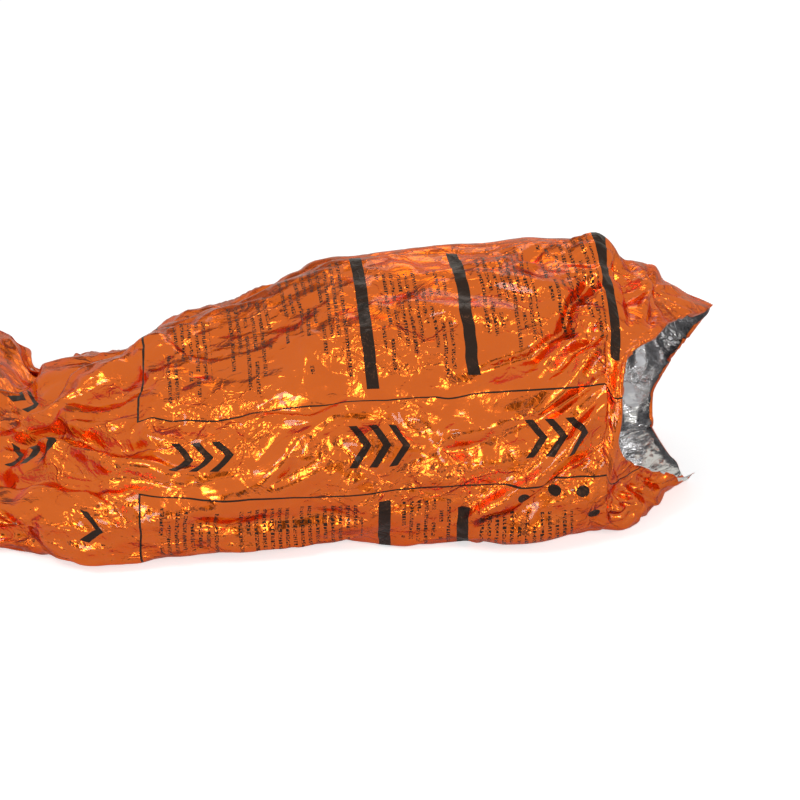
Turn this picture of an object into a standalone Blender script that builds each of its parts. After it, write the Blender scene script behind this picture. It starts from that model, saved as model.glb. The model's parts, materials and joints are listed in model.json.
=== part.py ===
"""Emergency bivvy bag of metallised film, in the rounded shape that it keeps in use.

Two rectangular sheets of film are welded along both long sides and across the foot, and the
head end stays open.  The near sheet makes the front of the bag and the far sheet its back.  One
side weld runs along the top of the bag and the other lies under it, and both turn out to the
sides of the bag towards the foot, where the spare film lies flat and can be folded up.

The bag lies along X with its mouth at +X.  The near side faces -Y and Z is up.
"""

import bisect
import math
from collections.abc import Callable
from dataclasses import dataclass

import bmesh
import bpy
from mathutils import Matrix, Vector

# Flat size of each sheet, as made
SHEET_LENGTH = 2.13
SHEET_WIDTH = 0.91

# Crumples take up this share of the flat length and width once the bag is in use
LENGTH_TAKEN_UP = 0.04
WIDTH_TAKEN_UP = 0.033

# Height of the bag at its shoulder, the highest place
SHOULDER_HEIGHT = 0.43

# The film and its welds stand thicker than real ones, which are about 0.05 mm
FILM_THICKNESS = 0.002
WELD_THICKNESS = 0.0025
WELD_WIDTH = 0.010
GAP = 0.0004

# Neither film nor weld goes deeper than this share of the way to what it faces
DEEPEST_FILM = 0.48
DEEPEST_WELD = 0.45

# Where the bag lies flat, the two sheets keep at least this distance
FILM_CLEARANCE = 0.00245

# Where the spare film at the foot end folds up, as a share of the laid length from the foot
FOLD_SHARE = 0.205
FOLD_GAP = 0.0008
FOLD_CLEARANCE = 0.0005

# Fineness of the meshes
POINTS_ACROSS_SHEET = 18
ROWS_ALONG_BODY = 48
ROWS_ALONG_NECK = 6
ROWS_ALONG_TAIL = 12
POINTS_ACROSS_WELD = 5
EDGE_FINENESS = 0.85
POINTS_ROUND_FOOT = 96
RING_SAMPLES = 720
SLOPE_STEP = 0.0025

# The floor flattens the under side wherever it would curve by less than this share
FLOOR_FLATTENING = 1.06
UNDER_SIDE_SQUARENESS = 5.0

# Directions from the middle of a section to its side welds before the sections roll, degrees
GROUND_WELD_ANGLE = -80.0
TOP_WELD_ANGLE = 100.0

LAID_LENGTH = SHEET_LENGTH * (1 - LENGTH_TAKEN_UP)
LAID_WIDTH = SHEET_WIDTH * (1 - WIDTH_TAKEN_UP)


@dataclass(frozen=True)
class Station:
    """One cross-section of the bag, in shares of the laid length, laid width and height.

    `along` runs from the foot to the mouth and `middle` is how far the section's middle lies
    towards the far side.  `half` is half its width, `crest` is how far its highest line lies
    beyond the middle, and `belly` is the level of its widest place.  `roll` turns the welds
    from under and over the body out to its sides and `turn` turns the whole section in plan,
    both in degrees.  `squareness` is the exponent of the upper outline.
    """

    along: float
    middle: float
    half: float
    crest: float
    height: float
    belly: float
    roll: float
    squareness: float
    turn: float


STATIONS = (
    Station(0.000, 0.432, 0.500, 0.000, 0.0150, 0.0075, 80, 8.0, 14.0),
    Station(0.098, 0.375, 0.497, 0.000, 0.0300, 0.0120, 80, 7.0, 14.0),
    Station(0.205, 0.312, 0.482, 0.000, 0.0650, 0.0280, 78, 4.5, 14.0),
    Station(0.244, 0.280, 0.462, 0.020, 0.1300, 0.0550, 74, 3.0, 13.4),
    Station(0.318, 0.220, 0.425, 0.075, 0.2800, 0.1200, 60, 2.0, 10.5),
    Station(0.385, 0.125, 0.375, 0.100, 0.2700, 0.1300, 42, 1.7, 7.0),
    Station(0.427, 0.065, 0.340, 0.045, 0.3400, 0.1500, 34, 1.6, 5.0),
    Station(0.460, 0.040, 0.342, 0.045, 0.5200, 0.1800, 28, 1.6, 3.8),
    Station(0.509, 0.010, 0.348, 0.062, 0.5600, 0.2000, 18, 1.7, 2.0),
    Station(0.538, 0.018, 0.348, 0.060, 0.6500, 0.2100, 12, 1.9, 1.0),
    Station(0.587, 0.025, 0.336, 0.075, 0.7000, 0.2200, 6, 2.0, 0.4),
    Station(0.636, 0.040, 0.326, 0.080, 0.8000, 0.2300, 3, 2.1, 0.0),
    Station(0.675, 0.048, 0.316, 0.080, 0.8850, 0.2300, 0, 2.1, 0.0),
    Station(0.758, 0.047, 0.305, 0.090, 0.9250, 0.2300, 0, 2.1, 0.0),
    Station(0.841, 0.043, 0.298, 0.095, 0.9770, 0.2300, 0, 2.1, 0.0),
    Station(0.900, 0.055, 0.265, 0.082, 1.0000, 0.2300, 0, 2.1, 0.0),
)

# The open rim of the mouth: direction from the section's middle in degrees, then how far past
# the last station, how far towards the far side and how high, in shares of length, width, height
RIM = (
    (-80, 0.0800, 0.080, 0.000),
    (-50, 0.0850, 0.026, 0.085),
    (-30, 0.0570, -0.084, 0.190),
    (-15, 0.0315, -0.162, 0.335),
    (0, 0.0260, -0.190, 0.460),
    (20, 0.0250, -0.170, 0.625),
    (40, 0.0275, -0.136, 0.750),
    (55, 0.0420, -0.068, 0.775),
    (68, 0.0590, 0.023, 0.755),
    (80, 0.0810, 0.090, 0.720),
    (100, 0.1000, 0.170, 0.680),
    (125, 0.0950, 0.240, 0.555),
    (150, 0.0760, 0.295, 0.350),
    (180, 0.0610, 0.318, 0.140),
    (215, 0.0610, 0.305, 0.005),
    (245, 0.0660, 0.225, 0.000),
)


def spaced(start: float, end: float, count: int) -> list[float]:
    """Return evenly spaced numbers from start to end."""
    return [start + (end - start) * i / (count - 1) for i in range(count)]


class SmoothCurve:
    """A curve through given points that never swings past them."""

    def __init__(self, places: list[float], values: list[float]) -> None:
        """Store the points and work out the slope at each.

        Args:
            places: where the values hold, in rising order.
            values: the value at each place.
        """
        self.places, self.values = places, values
        rises = [
            (v1 - v0) / (p1 - p0)
            for p0, p1, v0, v1 in zip(places, places[1:], values, values[1:])
        ]
        inner = [
            0.0 if a * b <= 0 else 2 * a * b / (a + b) for a, b in zip(rises, rises[1:])
        ]
        self.slopes = [rises[0], *inner, rises[-1]]

    def at(self, place: float) -> float:
        """Return the value at a place, carrying on straight past either end."""
        i = min(max(bisect.bisect(self.places, place) - 1, 0), len(self.places) - 2)
        width = self.places[i + 1] - self.places[i]
        t = (place - self.places[i]) / width
        if not 0 <= t <= 1:
            end = 0 if t < 0 else -1
            return self.values[end] + self.slopes[end] * (place - self.places[end])
        return (
            self.values[i] * (1 + 2 * t) * (1 - t) ** 2
            + self.slopes[i] * width * t * (1 - t) ** 2
            + self.values[i + 1] * t * t * (3 - 2 * t)
            + self.slopes[i + 1] * width * t * t * (t - 1)
        )


class Ring:
    """A closed cross-section that starts at the ground weld and passes over the top weld."""

    def __init__(self, points: list[Vector], to_top: int, facing: Vector | None) -> None:
        """Measure the lengths along the section.

        Args:
            points: the section's outline, without repeating the first point.
            to_top: which of the points is at the top weld.
            facing: the direction square to the section where the film is cut square through.
        """
        self.facing = facing
        self.points = [*points, points[0]]
        self.lengths = [0.0]
        for a, b in zip(self.points, self.points[1:]):
            self.lengths.append(self.lengths[-1] + (b - a).length)
        self.top = self.lengths[to_top]
        self.whole = self.lengths[-1]

    def at(self, length: float) -> Vector:
        """Return the point at a distance along the outline from the ground weld."""
        length %= self.whole
        i = min(bisect.bisect(self.lengths, length) - 1, len(self.points) - 2)
        share = (length - self.lengths[i]) / (self.lengths[i + 1] - self.lengths[i])
        return self.points[i].lerp(self.points[i + 1], share)

    def across(self, far: bool, share: float) -> float:
        """Return how far round the section a share of one sheet's width lies.

        Args:
            far: True for the far sheet, False for the near one.
            share: 0 at the edge that the section passes first, 1 at the other.
        """
        start, end = (self.top, self.whole) if far else (0.0, self.top)
        edge = WELD_WIDTH / 2 + GAP
        return start + edge + (end - start - 2 * edge) * share

    def span(self, start: float, end: float, count: int) -> list[Vector]:
        """Return evenly spaced points between two distances along the outline."""
        return [self.at(place) for place in spaced(start, end, count)]


def powered(value: float, exponent: float) -> float:
    """Raise a number's size to a power and keep its sign."""
    return math.copysign(abs(value) ** exponent, value)


class Bag:
    """The outer surface of the bag as laid, before it is cut into sheets and welds."""

    def __init__(self) -> None:
        """Make the smooth curves that the stations' values follow along the bag."""
        places = [s.along for s in STATIONS]
        self.curve = {
            name: SmoothCurve(places, [getattr(s, name) for s in STATIONS])
            for name in Station.__dataclass_fields__
            if name != "along"
        }
        angles = [r[0] for r in RIM]
        shoulder = STATIONS[-1].along
        spots = [
            (
                (shoulder + r[1]) * LAID_LENGTH,
                r[2] * LAID_WIDTH,
                r[3] * SHOULDER_HEIGHT,
            )
            for r in RIM
        ]
        angles = [*[a - 360 for a in angles], *angles, *[a + 360 for a in angles]]
        self.rim = [SmoothCurve(angles, [s[i] for s in spots] * 3) for i in range(3)]

    def middle(self, along: float) -> Vector:
        """Return the floor point under the middle of a section."""
        sideways = self.curve["middle"].at(along) * LAID_WIDTH
        return Vector((along * LAID_LENGTH, sideways, 0))

    def sideways(self, along: float) -> Vector:
        """Return the level direction across the bag."""
        turn = math.radians(self.curve["turn"].at(along))
        return Vector((math.sin(turn), math.cos(turn), 0))

    def section_point(self, along: float, degrees: float) -> Vector:
        """Return the point of a section in a direction from its middle.

        Args:
            along: the section's place, as a share of the laid length.
            degrees: the direction, with the near side at 0 and straight up at 90.
        """
        value = {name: curve.at(along) for name, curve in self.curve.items()}
        turn = math.radians(degrees + value["roll"])
        out, up = math.cos(turn), math.sin(turn)
        squareness = value["squareness"] if up >= 0 else UNDER_SIDE_SQUARENESS
        out, up = powered(out, 2 / squareness), powered(up, 2 / squareness)
        least = 2 * FILM_THICKNESS + FILM_CLEARANCE
        top = max(value["height"] * SHOULDER_HEIGHT, least)
        belly = max(value["belly"] * SHOULDER_HEIGHT, least / 2)
        if up >= 0:
            height = belly + (top - belly) * up
            lean = value["crest"] * LAID_WIDTH * up**1.5
        else:
            height = max(0.0, belly * (1 + FLOOR_FLATTENING * up))
            lean = 0.0
        across = lean - value["half"] * LAID_WIDTH * out
        spot = self.middle(along) + self.sideways(along) * across
        spot.z = height
        return spot

    def rim_point(self, degrees: float) -> Vector:
        """Return the point of the mouth's rim in a direction from the middle."""
        spot = Vector([curve.at(degrees) for curve in self.rim])
        spot.z = max(0.0, spot.z)
        return spot

    def ring(self, along: float, neck: float = 0.0, square: bool = False) -> Ring:
        """Return a whole cross-section.

        Args:
            along: its place as a share of the laid length.
            neck: how far it lies from the last station (0) to the mouth's rim (1).
            square: True where the film is cut square through, as at the fold.
        """
        turns = [GROUND_WELD_ANGLE + 360 * i / RING_SAMPLES for i in range(RING_SAMPLES)]
        points = [
            self.section_point(along, turn).lerp(self.rim_point(turn), neck)
            if neck
            else self.section_point(along, turn)
            for turn in turns
        ]
        to_top = round(RING_SAMPLES * (TOP_WELD_ANGLE - GROUND_WELD_ANGLE) / 360)
        facing = self.sideways(along).cross(Vector((0, 0, 1))) if square else None
        return Ring(points, to_top, facing)


def material(name: str, colour: tuple[float, float, float], metallic: float) -> bpy.types.Material:
    """Return a plain material with a Principled BSDF."""
    made = bpy.data.materials.new(name)
    made.use_nodes = True
    shader = made.node_tree.nodes["Principled BSDF"]
    shader.inputs["Base Color"].default_value = (*colour, 1)
    shader.inputs["Metallic"].default_value = metallic
    shader.inputs["Roughness"].default_value = 0.25
    return made


def add_object(name: str, mesh: bmesh.types.BMesh, finish: bpy.types.Material) -> None:
    """Turn a finished bmesh into an object of the bag."""
    bmesh.ops.recalc_face_normals(mesh, faces=mesh.faces)
    data = bpy.data.meshes.new(name)
    mesh.to_mesh(data)
    mesh.free()
    data.materials.append(finish)
    collection.objects.link(bpy.data.objects.new(name, data))


def column(rings: list[Ring], place: Callable[[Ring], float]) -> list[tuple[Vector, Vector]]:
    """Follow one line along the bag.

    Args:
        rings: the cross-sections it passes, from the foot towards the mouth.
        place: gives the line's distance round a ring from the ground weld.

    Returns:
        For each ring, the line's point and the direction from it into the bag.
    """
    spots = [ring.at(place(ring)) for ring in rings]
    found = []
    for i, ring in enumerate(rings):
        along = ring.facing or spots[min(i + 1, len(rings) - 1)] - spots[max(i - 1, 0)]
        across = ring.at(place(ring) + SLOPE_STEP) - ring.at(place(ring) - SLOPE_STEP)
        found.append((spots[i], across.cross(along).normalized()))
    return found


def skin(
    name: str, outer: list[list[Vector]], inner: list[list[Vector]], finish: bpy.types.Material
) -> None:
    """Make a closed solid between an outer and an inner grid of points of the same size."""
    mesh = bmesh.new()
    grids = [[[mesh.verts.new(point) for point in line] for line in grid] for grid in (outer, inner)]
    for grid in grids:
        for line, following in zip(grid, grid[1:]):
            for a, b, c, d in zip(line, line[1:], following[1:], following):
                mesh.faces.new((a, b, c, d))
    out, into = grids
    edges = [(out[0], into[0]), (out[-1], into[-1])]
    edges += [([line[end] for line in out], [line[end] for line in into]) for end in (0, -1)]
    for line, facing in edges:
        for a, b, c, d in zip(line, line[1:], facing[1:], facing):
            mesh.faces.new((a, b, c, d))
    add_object(name, mesh, finish)


def sheet(name: str, rings: list[Ring], far: bool, finish: bpy.types.Material) -> None:
    """Make the film between the two side welds on one side of the bag."""
    outer, inner = [], []
    for share in spaced(0, 1, POINTS_ACROSS_SHEET):
        eased = EDGE_FINENESS * (1 - math.cos(math.pi * share)) / 2 + (1 - EDGE_FINENESS) * share
        line = column(rings, lambda ring, at=eased: ring.across(far, at))
        facing = [ring.at(ring.across(not far, 1 - eased)) for ring in rings]
        outer.append([spot for spot, _ in line])
        inner.append(
            [
                spot + into * min(FILM_THICKNESS, DEEPEST_FILM * (other - spot).length)
                for (spot, into), other in zip(line, facing)
            ]
        )
    skin(name, outer, inner, finish)


def side_weld(name: str, rings: list[Ring], top: bool, finish: bpy.types.Material) -> None:
    """Make the strip where the edges of the two sheets are welded together."""
    lines = [
        column(rings, lambda ring, at=offset: (ring.top if top else 0.0) + at)
        for offset in spaced(-WELD_WIDTH / 2, WELD_WIDTH / 2, POINTS_ACROSS_WELD)
    ]
    outer = [[spot for spot, _ in line] for line in lines]
    edges = []
    for near, far in ((lines[0], lines[-1]), (lines[-1], lines[0])):
        edges.append(
            [
                spot + into * min(WELD_THICKNESS, DEEPEST_WELD * (other - spot).length)
                for (spot, into), (other, _) in zip(near, far)
            ]
        )
    inner = [
        [a.lerp(b, share) for a, b in zip(*edges)] for share in spaced(0, 1, POINTS_ACROSS_WELD)
    ]
    skin(name, outer, inner, finish)


def end_weld(name: str, rings: list[Ring], finish: bpy.types.Material) -> None:
    """Make the flat bar of film that closes the foot end, between two cross-sections."""
    mesh = bmesh.new()
    loops = [
        [mesh.verts.new(p) for p in ring.span(0, ring.whole, POINTS_ROUND_FOOT + 1)[:-1]]
        for ring in rings
    ]
    for i in range(POINTS_ROUND_FOOT):
        mesh.faces.new((loops[0][i - 1], loops[1][i - 1], loops[1][i], loops[0][i]))
    for loop in loops:
        mesh.faces.new(loop)
    add_object(name, mesh, finish)


for old in list(bpy.data.objects):
    bpy.data.objects.remove(old, do_unlink=True)

collection = bpy.data.collections.new("bivvy_bag")
bpy.context.scene.collection.children.link(collection)

film_near = material("film_near", (0.69, 0.13, 0.013), 0.8)
film_far = material("film_far", (0.69, 0.13, 0.013), 0.8)
weld_finish = material("weld", (0.62, 0.10, 0.01), 0.6)

bag = Bag()
shoulder = STATIONS[-1].along
fold_half_gap = FOLD_GAP / 2 / LAID_LENGTH
foot_weld_share = WELD_WIDTH / LAID_LENGTH

tail_places = spaced(
    foot_weld_share + GAP / LAID_LENGTH, FOLD_SHARE - fold_half_gap, ROWS_ALONG_TAIL
)
body_places = spaced(FOLD_SHARE + fold_half_gap, shoulder, ROWS_ALONG_BODY)
tail_rings = [bag.ring(a, square=a == tail_places[-1]) for a in tail_places]
body_rings = [bag.ring(a, square=a == body_places[0]) for a in body_places]
body_rings += [bag.ring(shoulder, n) for n in spaced(0, 1, ROWS_ALONG_NECK)[1:]]
foot_rings = [bag.ring(0.0), bag.ring(foot_weld_share)]

sheet("near_sheet", body_rings, False, film_near)
sheet("far_sheet", body_rings, True, film_far)
side_weld("top_side_weld", body_rings, True, weld_finish)
side_weld("ground_side_weld", body_rings, False, weld_finish)
sheet("near_sheet_foot", tail_rings, False, film_near)
sheet("far_sheet_foot", tail_rings, True, film_far)
side_weld("top_side_weld_foot", tail_rings, True, weld_finish)
side_weld("ground_side_weld_foot", tail_rings, False, weld_finish)
end_weld("foot_weld", foot_rings, weld_finish)

# The origin goes under the middle of the whole bag, on the floor
corners = [v.co for o in collection.objects for v in o.data.vertices]
low = [min(c[i] for c in corners) for i in range(2)]
high = [max(c[i] for c in corners) for i in range(2)]
to_origin = Matrix.Translation((-(low[0] + high[0]) / 2, -(low[1] + high[1]) / 2, 0))
for piece in collection.objects:
    piece.data.transform(to_origin)

# The foot pieces turn about the level line across the bag where the spare film folds up
fold_line = to_origin @ bag.middle(FOLD_SHARE)
fold_line.z = max(p.z for p in bag.ring(FOLD_SHARE).points) + FOLD_CLEARANCE
for piece in collection.objects:
    if piece.name == "foot_weld" or piece.name.endswith("_foot"):
        piece.data.transform(Matrix.Translation(-fold_line))
        piece.location = fold_line
bpy.context.view_layer.update()
print("fold line", [round(v, 5) for v in fold_line], "across", [round(v, 5) for v in bag.sideways(FOLD_SHARE)])
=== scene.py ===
"""Looks of an emergency bivvy bag of metallised film, in the rounded shape that it keeps in use.

The bag is two welded sheets of film.  Its smooth shape comes from the same cross-sections as the
CAD solids, the film is then draped over that shape by simulation, and creases, gathers and
flat-faceted crumples are pressed into it before each sheet is cut out and given its thickness.
"""

import json
import logging
import math
from collections.abc import Callable, Sequence
from dataclasses import dataclass
from enum import Enum

import bpy
import numpy as np
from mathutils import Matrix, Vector
from mathutils.bvhtree import BVHTree
from mathutils.geometry import delaunay_2d_cdt

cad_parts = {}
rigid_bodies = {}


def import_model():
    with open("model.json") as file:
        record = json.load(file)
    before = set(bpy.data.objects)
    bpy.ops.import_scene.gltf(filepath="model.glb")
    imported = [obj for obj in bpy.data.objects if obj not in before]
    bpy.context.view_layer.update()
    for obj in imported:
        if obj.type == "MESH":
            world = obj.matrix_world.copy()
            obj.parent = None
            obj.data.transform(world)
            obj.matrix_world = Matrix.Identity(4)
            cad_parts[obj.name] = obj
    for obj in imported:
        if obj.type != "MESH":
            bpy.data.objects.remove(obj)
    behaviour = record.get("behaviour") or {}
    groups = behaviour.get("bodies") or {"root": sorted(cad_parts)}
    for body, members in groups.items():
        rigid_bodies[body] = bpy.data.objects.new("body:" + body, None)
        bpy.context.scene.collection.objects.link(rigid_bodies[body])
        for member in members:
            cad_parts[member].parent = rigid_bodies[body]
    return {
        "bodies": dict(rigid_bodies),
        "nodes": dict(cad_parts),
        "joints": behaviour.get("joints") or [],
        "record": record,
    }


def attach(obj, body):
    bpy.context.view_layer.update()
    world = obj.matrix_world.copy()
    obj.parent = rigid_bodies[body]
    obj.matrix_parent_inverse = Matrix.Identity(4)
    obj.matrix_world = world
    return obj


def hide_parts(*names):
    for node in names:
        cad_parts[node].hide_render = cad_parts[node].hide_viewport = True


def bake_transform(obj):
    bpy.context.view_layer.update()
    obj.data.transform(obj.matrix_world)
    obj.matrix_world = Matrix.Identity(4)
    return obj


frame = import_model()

log = logging.getLogger("bivvy_bag")

Array = np.ndarray


@dataclass(frozen=True)
class BagSizes:
    """Sizes of the bag in metres, and the shares of them that its crumples take up."""

    sheet_length: float = 2.13
    sheet_width: float = 0.91
    length_taken_up: float = 0.04
    width_taken_up: float = 0.033
    shoulder_height: float = 0.43
    weld_width: float = 0.010
    film_thickness: float = 0.0006
    sealed_margin: float = 0.03
    sealed_length: float = 0.55
    under_side_squareness: float = 5.0
    floor_flattening: float = 1.06
    ground_weld_angle: float = -80.0
    top_weld_angle: float = 100.0
    fold_share: float = 0.205

    @property
    def laid_length(self) -> float:
        """Length of the bag once crumpled."""
        return self.sheet_length * (1 - self.length_taken_up)

    @property
    def laid_width(self) -> float:
        """Width of the bag once crumpled."""
        return self.sheet_width * (1 - self.width_taken_up)


SIZES = BagSizes()

# Cross-sections from foot to shoulder, in shares of the laid length, laid width and height:
# along, middle, half width, crest, height, belly, roll, squareness, turn (both in degrees)
STATIONS = (
    (0.000, 0.432, 0.500, 0.000, 0.0150, 0.0075, 80, 8.0, 14.0),
    (0.098, 0.375, 0.497, 0.000, 0.0300, 0.0120, 80, 7.0, 14.0),
    (0.205, 0.312, 0.482, 0.000, 0.0650, 0.0280, 78, 4.5, 14.0),
    (0.244, 0.280, 0.462, 0.020, 0.1300, 0.0550, 74, 3.0, 13.4),
    (0.318, 0.220, 0.425, 0.075, 0.2800, 0.1200, 60, 2.0, 10.5),
    (0.385, 0.125, 0.375, 0.100, 0.2700, 0.1300, 42, 1.7, 7.0),
    (0.427, 0.065, 0.340, 0.045, 0.3400, 0.1500, 34, 1.6, 5.0),
    (0.460, 0.040, 0.342, 0.045, 0.5200, 0.1800, 28, 1.6, 3.8),
    (0.509, 0.010, 0.348, 0.062, 0.5600, 0.2000, 18, 1.7, 2.0),
    (0.538, 0.018, 0.348, 0.060, 0.6500, 0.2100, 12, 1.9, 1.0),
    (0.587, 0.025, 0.336, 0.075, 0.7000, 0.2200, 6, 2.0, 0.4),
    (0.636, 0.040, 0.326, 0.080, 0.8000, 0.2300, 3, 2.1, 0.0),
    (0.675, 0.048, 0.316, 0.080, 0.8850, 0.2300, 0, 2.1, 0.0),
    (0.758, 0.047, 0.305, 0.090, 0.9250, 0.2300, 0, 2.1, 0.0),
    (0.841, 0.043, 0.298, 0.095, 0.9770, 0.2300, 0, 2.1, 0.0),
    (0.900, 0.055, 0.265, 0.082, 1.0000, 0.2300, 0, 2.1, 0.0),
)

# The mouth's rim: direction in degrees, then shares past the last section, to the far side, up
RIM = (
    (-80, 0.0800, 0.080, 0.000),
    (-50, 0.0850, 0.026, 0.085),
    (-30, 0.0570, -0.084, 0.190),
    (-15, 0.0160, -0.162, 0.335),
    (0, 0.0100, -0.190, 0.460),
    (20, 0.0095, -0.170, 0.625),
    (40, 0.0140, -0.136, 0.750),
    (55, 0.0420, -0.068, 0.775),
    (68, 0.0590, 0.023, 0.755),
    (80, 0.0810, 0.090, 0.720),
    (100, 0.1000, 0.170, 0.680),
    (125, 0.0950, 0.240, 0.555),
    (150, 0.0760, 0.295, 0.350),
    (180, 0.0610, 0.318, 0.140),
    (215, 0.0610, 0.305, 0.005),
    (245, 0.0660, 0.225, 0.000),
)


class SmoothCurve:
    """A curve through given points that never swings past them."""

    def __init__(self, places: Sequence[float], values: Sequence[float]) -> None:
        """Store the points and work out the slope at each.

        Args:
            places: where the values hold, in rising order.
            values: the value at each place.
        """
        self.places, self.values = np.array(places, float), np.array(values, float)
        rises = np.diff(self.values) / np.diff(self.places)
        product, total = rises[:-1] * rises[1:], rises[:-1] + rises[1:]
        inner = np.where(product <= 0, 0.0, 2 * product / np.where(product <= 0, 1.0, total))
        self.slopes = np.concatenate([rises[:1], inner, rises[-1:]])

    def __call__(self, place: Array | float) -> Array:
        """Return the values at some places, carrying on straight past either end.

        Args:
            place: where the values are wanted.

        Returns:
            The value at each place.
        """
        place = np.asarray(place, float)
        i = np.clip(np.searchsorted(self.places, place, side="right") - 1, 0, len(self.places) - 2)
        width = self.places[i + 1] - self.places[i]
        t = (place - self.places[i]) / width
        v0, v1, s0, s1 = self.values[i], self.values[i + 1], self.slopes[i], self.slopes[i + 1]
        smooth = (
            v0 * (1 + 2 * t) * (1 - t) ** 2
            + s0 * width * t * (1 - t) ** 2
            + v1 * t * t * (3 - 2 * t)
            + s1 * width * t * t * (t - 1)
        )
        before, after = v0 + s0 * width * t, v1 + s1 * width * (t - 1)
        return np.where(t < 0, before, np.where(t > 1, after, smooth))


def smoothstep(low: float, high: float, value: Array) -> Array:
    """Return 0 below low, 1 above high and an eased value between."""
    t = np.clip((value - low) / (high - low), 0, 1)
    return t * t * (3 - 2 * t)


def unit(vectors: Array) -> Array:
    """Return vectors scaled to length 1."""
    return vectors / np.maximum(np.linalg.norm(vectors, axis=-1, keepdims=True), 1e-12)


def cumulative(points: Array) -> Array:
    """Return the distance from the first point along each column of points."""
    steps = np.linalg.norm(np.diff(points, axis=0), axis=-1)
    return np.concatenate([np.zeros_like(steps[:1]), np.cumsum(steps, axis=0)])


def resampled(line: Array, places: Array, wanted: Array) -> Array:
    """Return the points of a line, given at some places along it, at the wanted places."""
    return np.stack([np.interp(wanted, places, values) for values in line.T], axis=-1)


def faced(points: Array) -> Array:
    """Return the direction that each point of an open grid faces."""
    return unit(np.cross(np.gradient(points, axis=0), np.gradient(points, axis=1)))


def placed(name: str, data: bpy.types.ID) -> bpy.types.Object:
    """Return a new object in the scene that shows a mesh, lamp or camera."""
    made = bpy.data.objects.new(name, data)
    bpy.context.scene.collection.objects.link(made)
    return made


def panel(name: str, corners: Sequence[Sequence[float]]) -> bpy.types.Object:
    """Return a new object in the scene with one face of four corners."""
    mesh = bpy.data.meshes.new(name)
    mesh.from_pydata([tuple(corner) for corner in corners], [], [(0, 1, 2, 3)])
    return placed(name, mesh)


def level_panel(name: str, half: float, height: float) -> bpy.types.Object:
    """Return a level square panel, given half its side and its height."""
    corners = [(x * half, y * half, height) for x, y in ((-1, -1), (1, -1), (1, 1), (-1, 1))]
    return panel(name, corners)


@dataclass(frozen=True)
class TubeGrid:
    """Where the lines of a grid over the whole bag run.

    `rows` are places along the sheets in metres from the foot.  `near`, `far` and `weld` are
    the numbers of steps across each sheet and each side weld.
    """

    rows: Array
    near: int
    far: int
    weld: int

    @property
    def near_columns(self) -> Array:
        """Columns of the near sheet, from the ground weld to the top weld."""
        return np.arange(self.near + 1)

    @property
    def top_columns(self) -> Array:
        """Columns of the top weld."""
        return np.arange(self.near, self.near + self.weld + 1)

    @property
    def far_columns(self) -> Array:
        """Columns of the far sheet, from the top weld to the ground weld."""
        return np.arange(self.near + self.weld, self.near + self.weld + self.far + 1)

    @property
    def ground_columns(self) -> Array:
        """Columns of the ground weld, which ends where the near sheet starts."""
        first = self.near + self.weld + self.far
        return np.arange(first, first + self.weld + 1) % self.count

    @property
    def count(self) -> int:
        """Number of columns all the way round."""
        return self.near + self.far + 2 * self.weld


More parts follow.
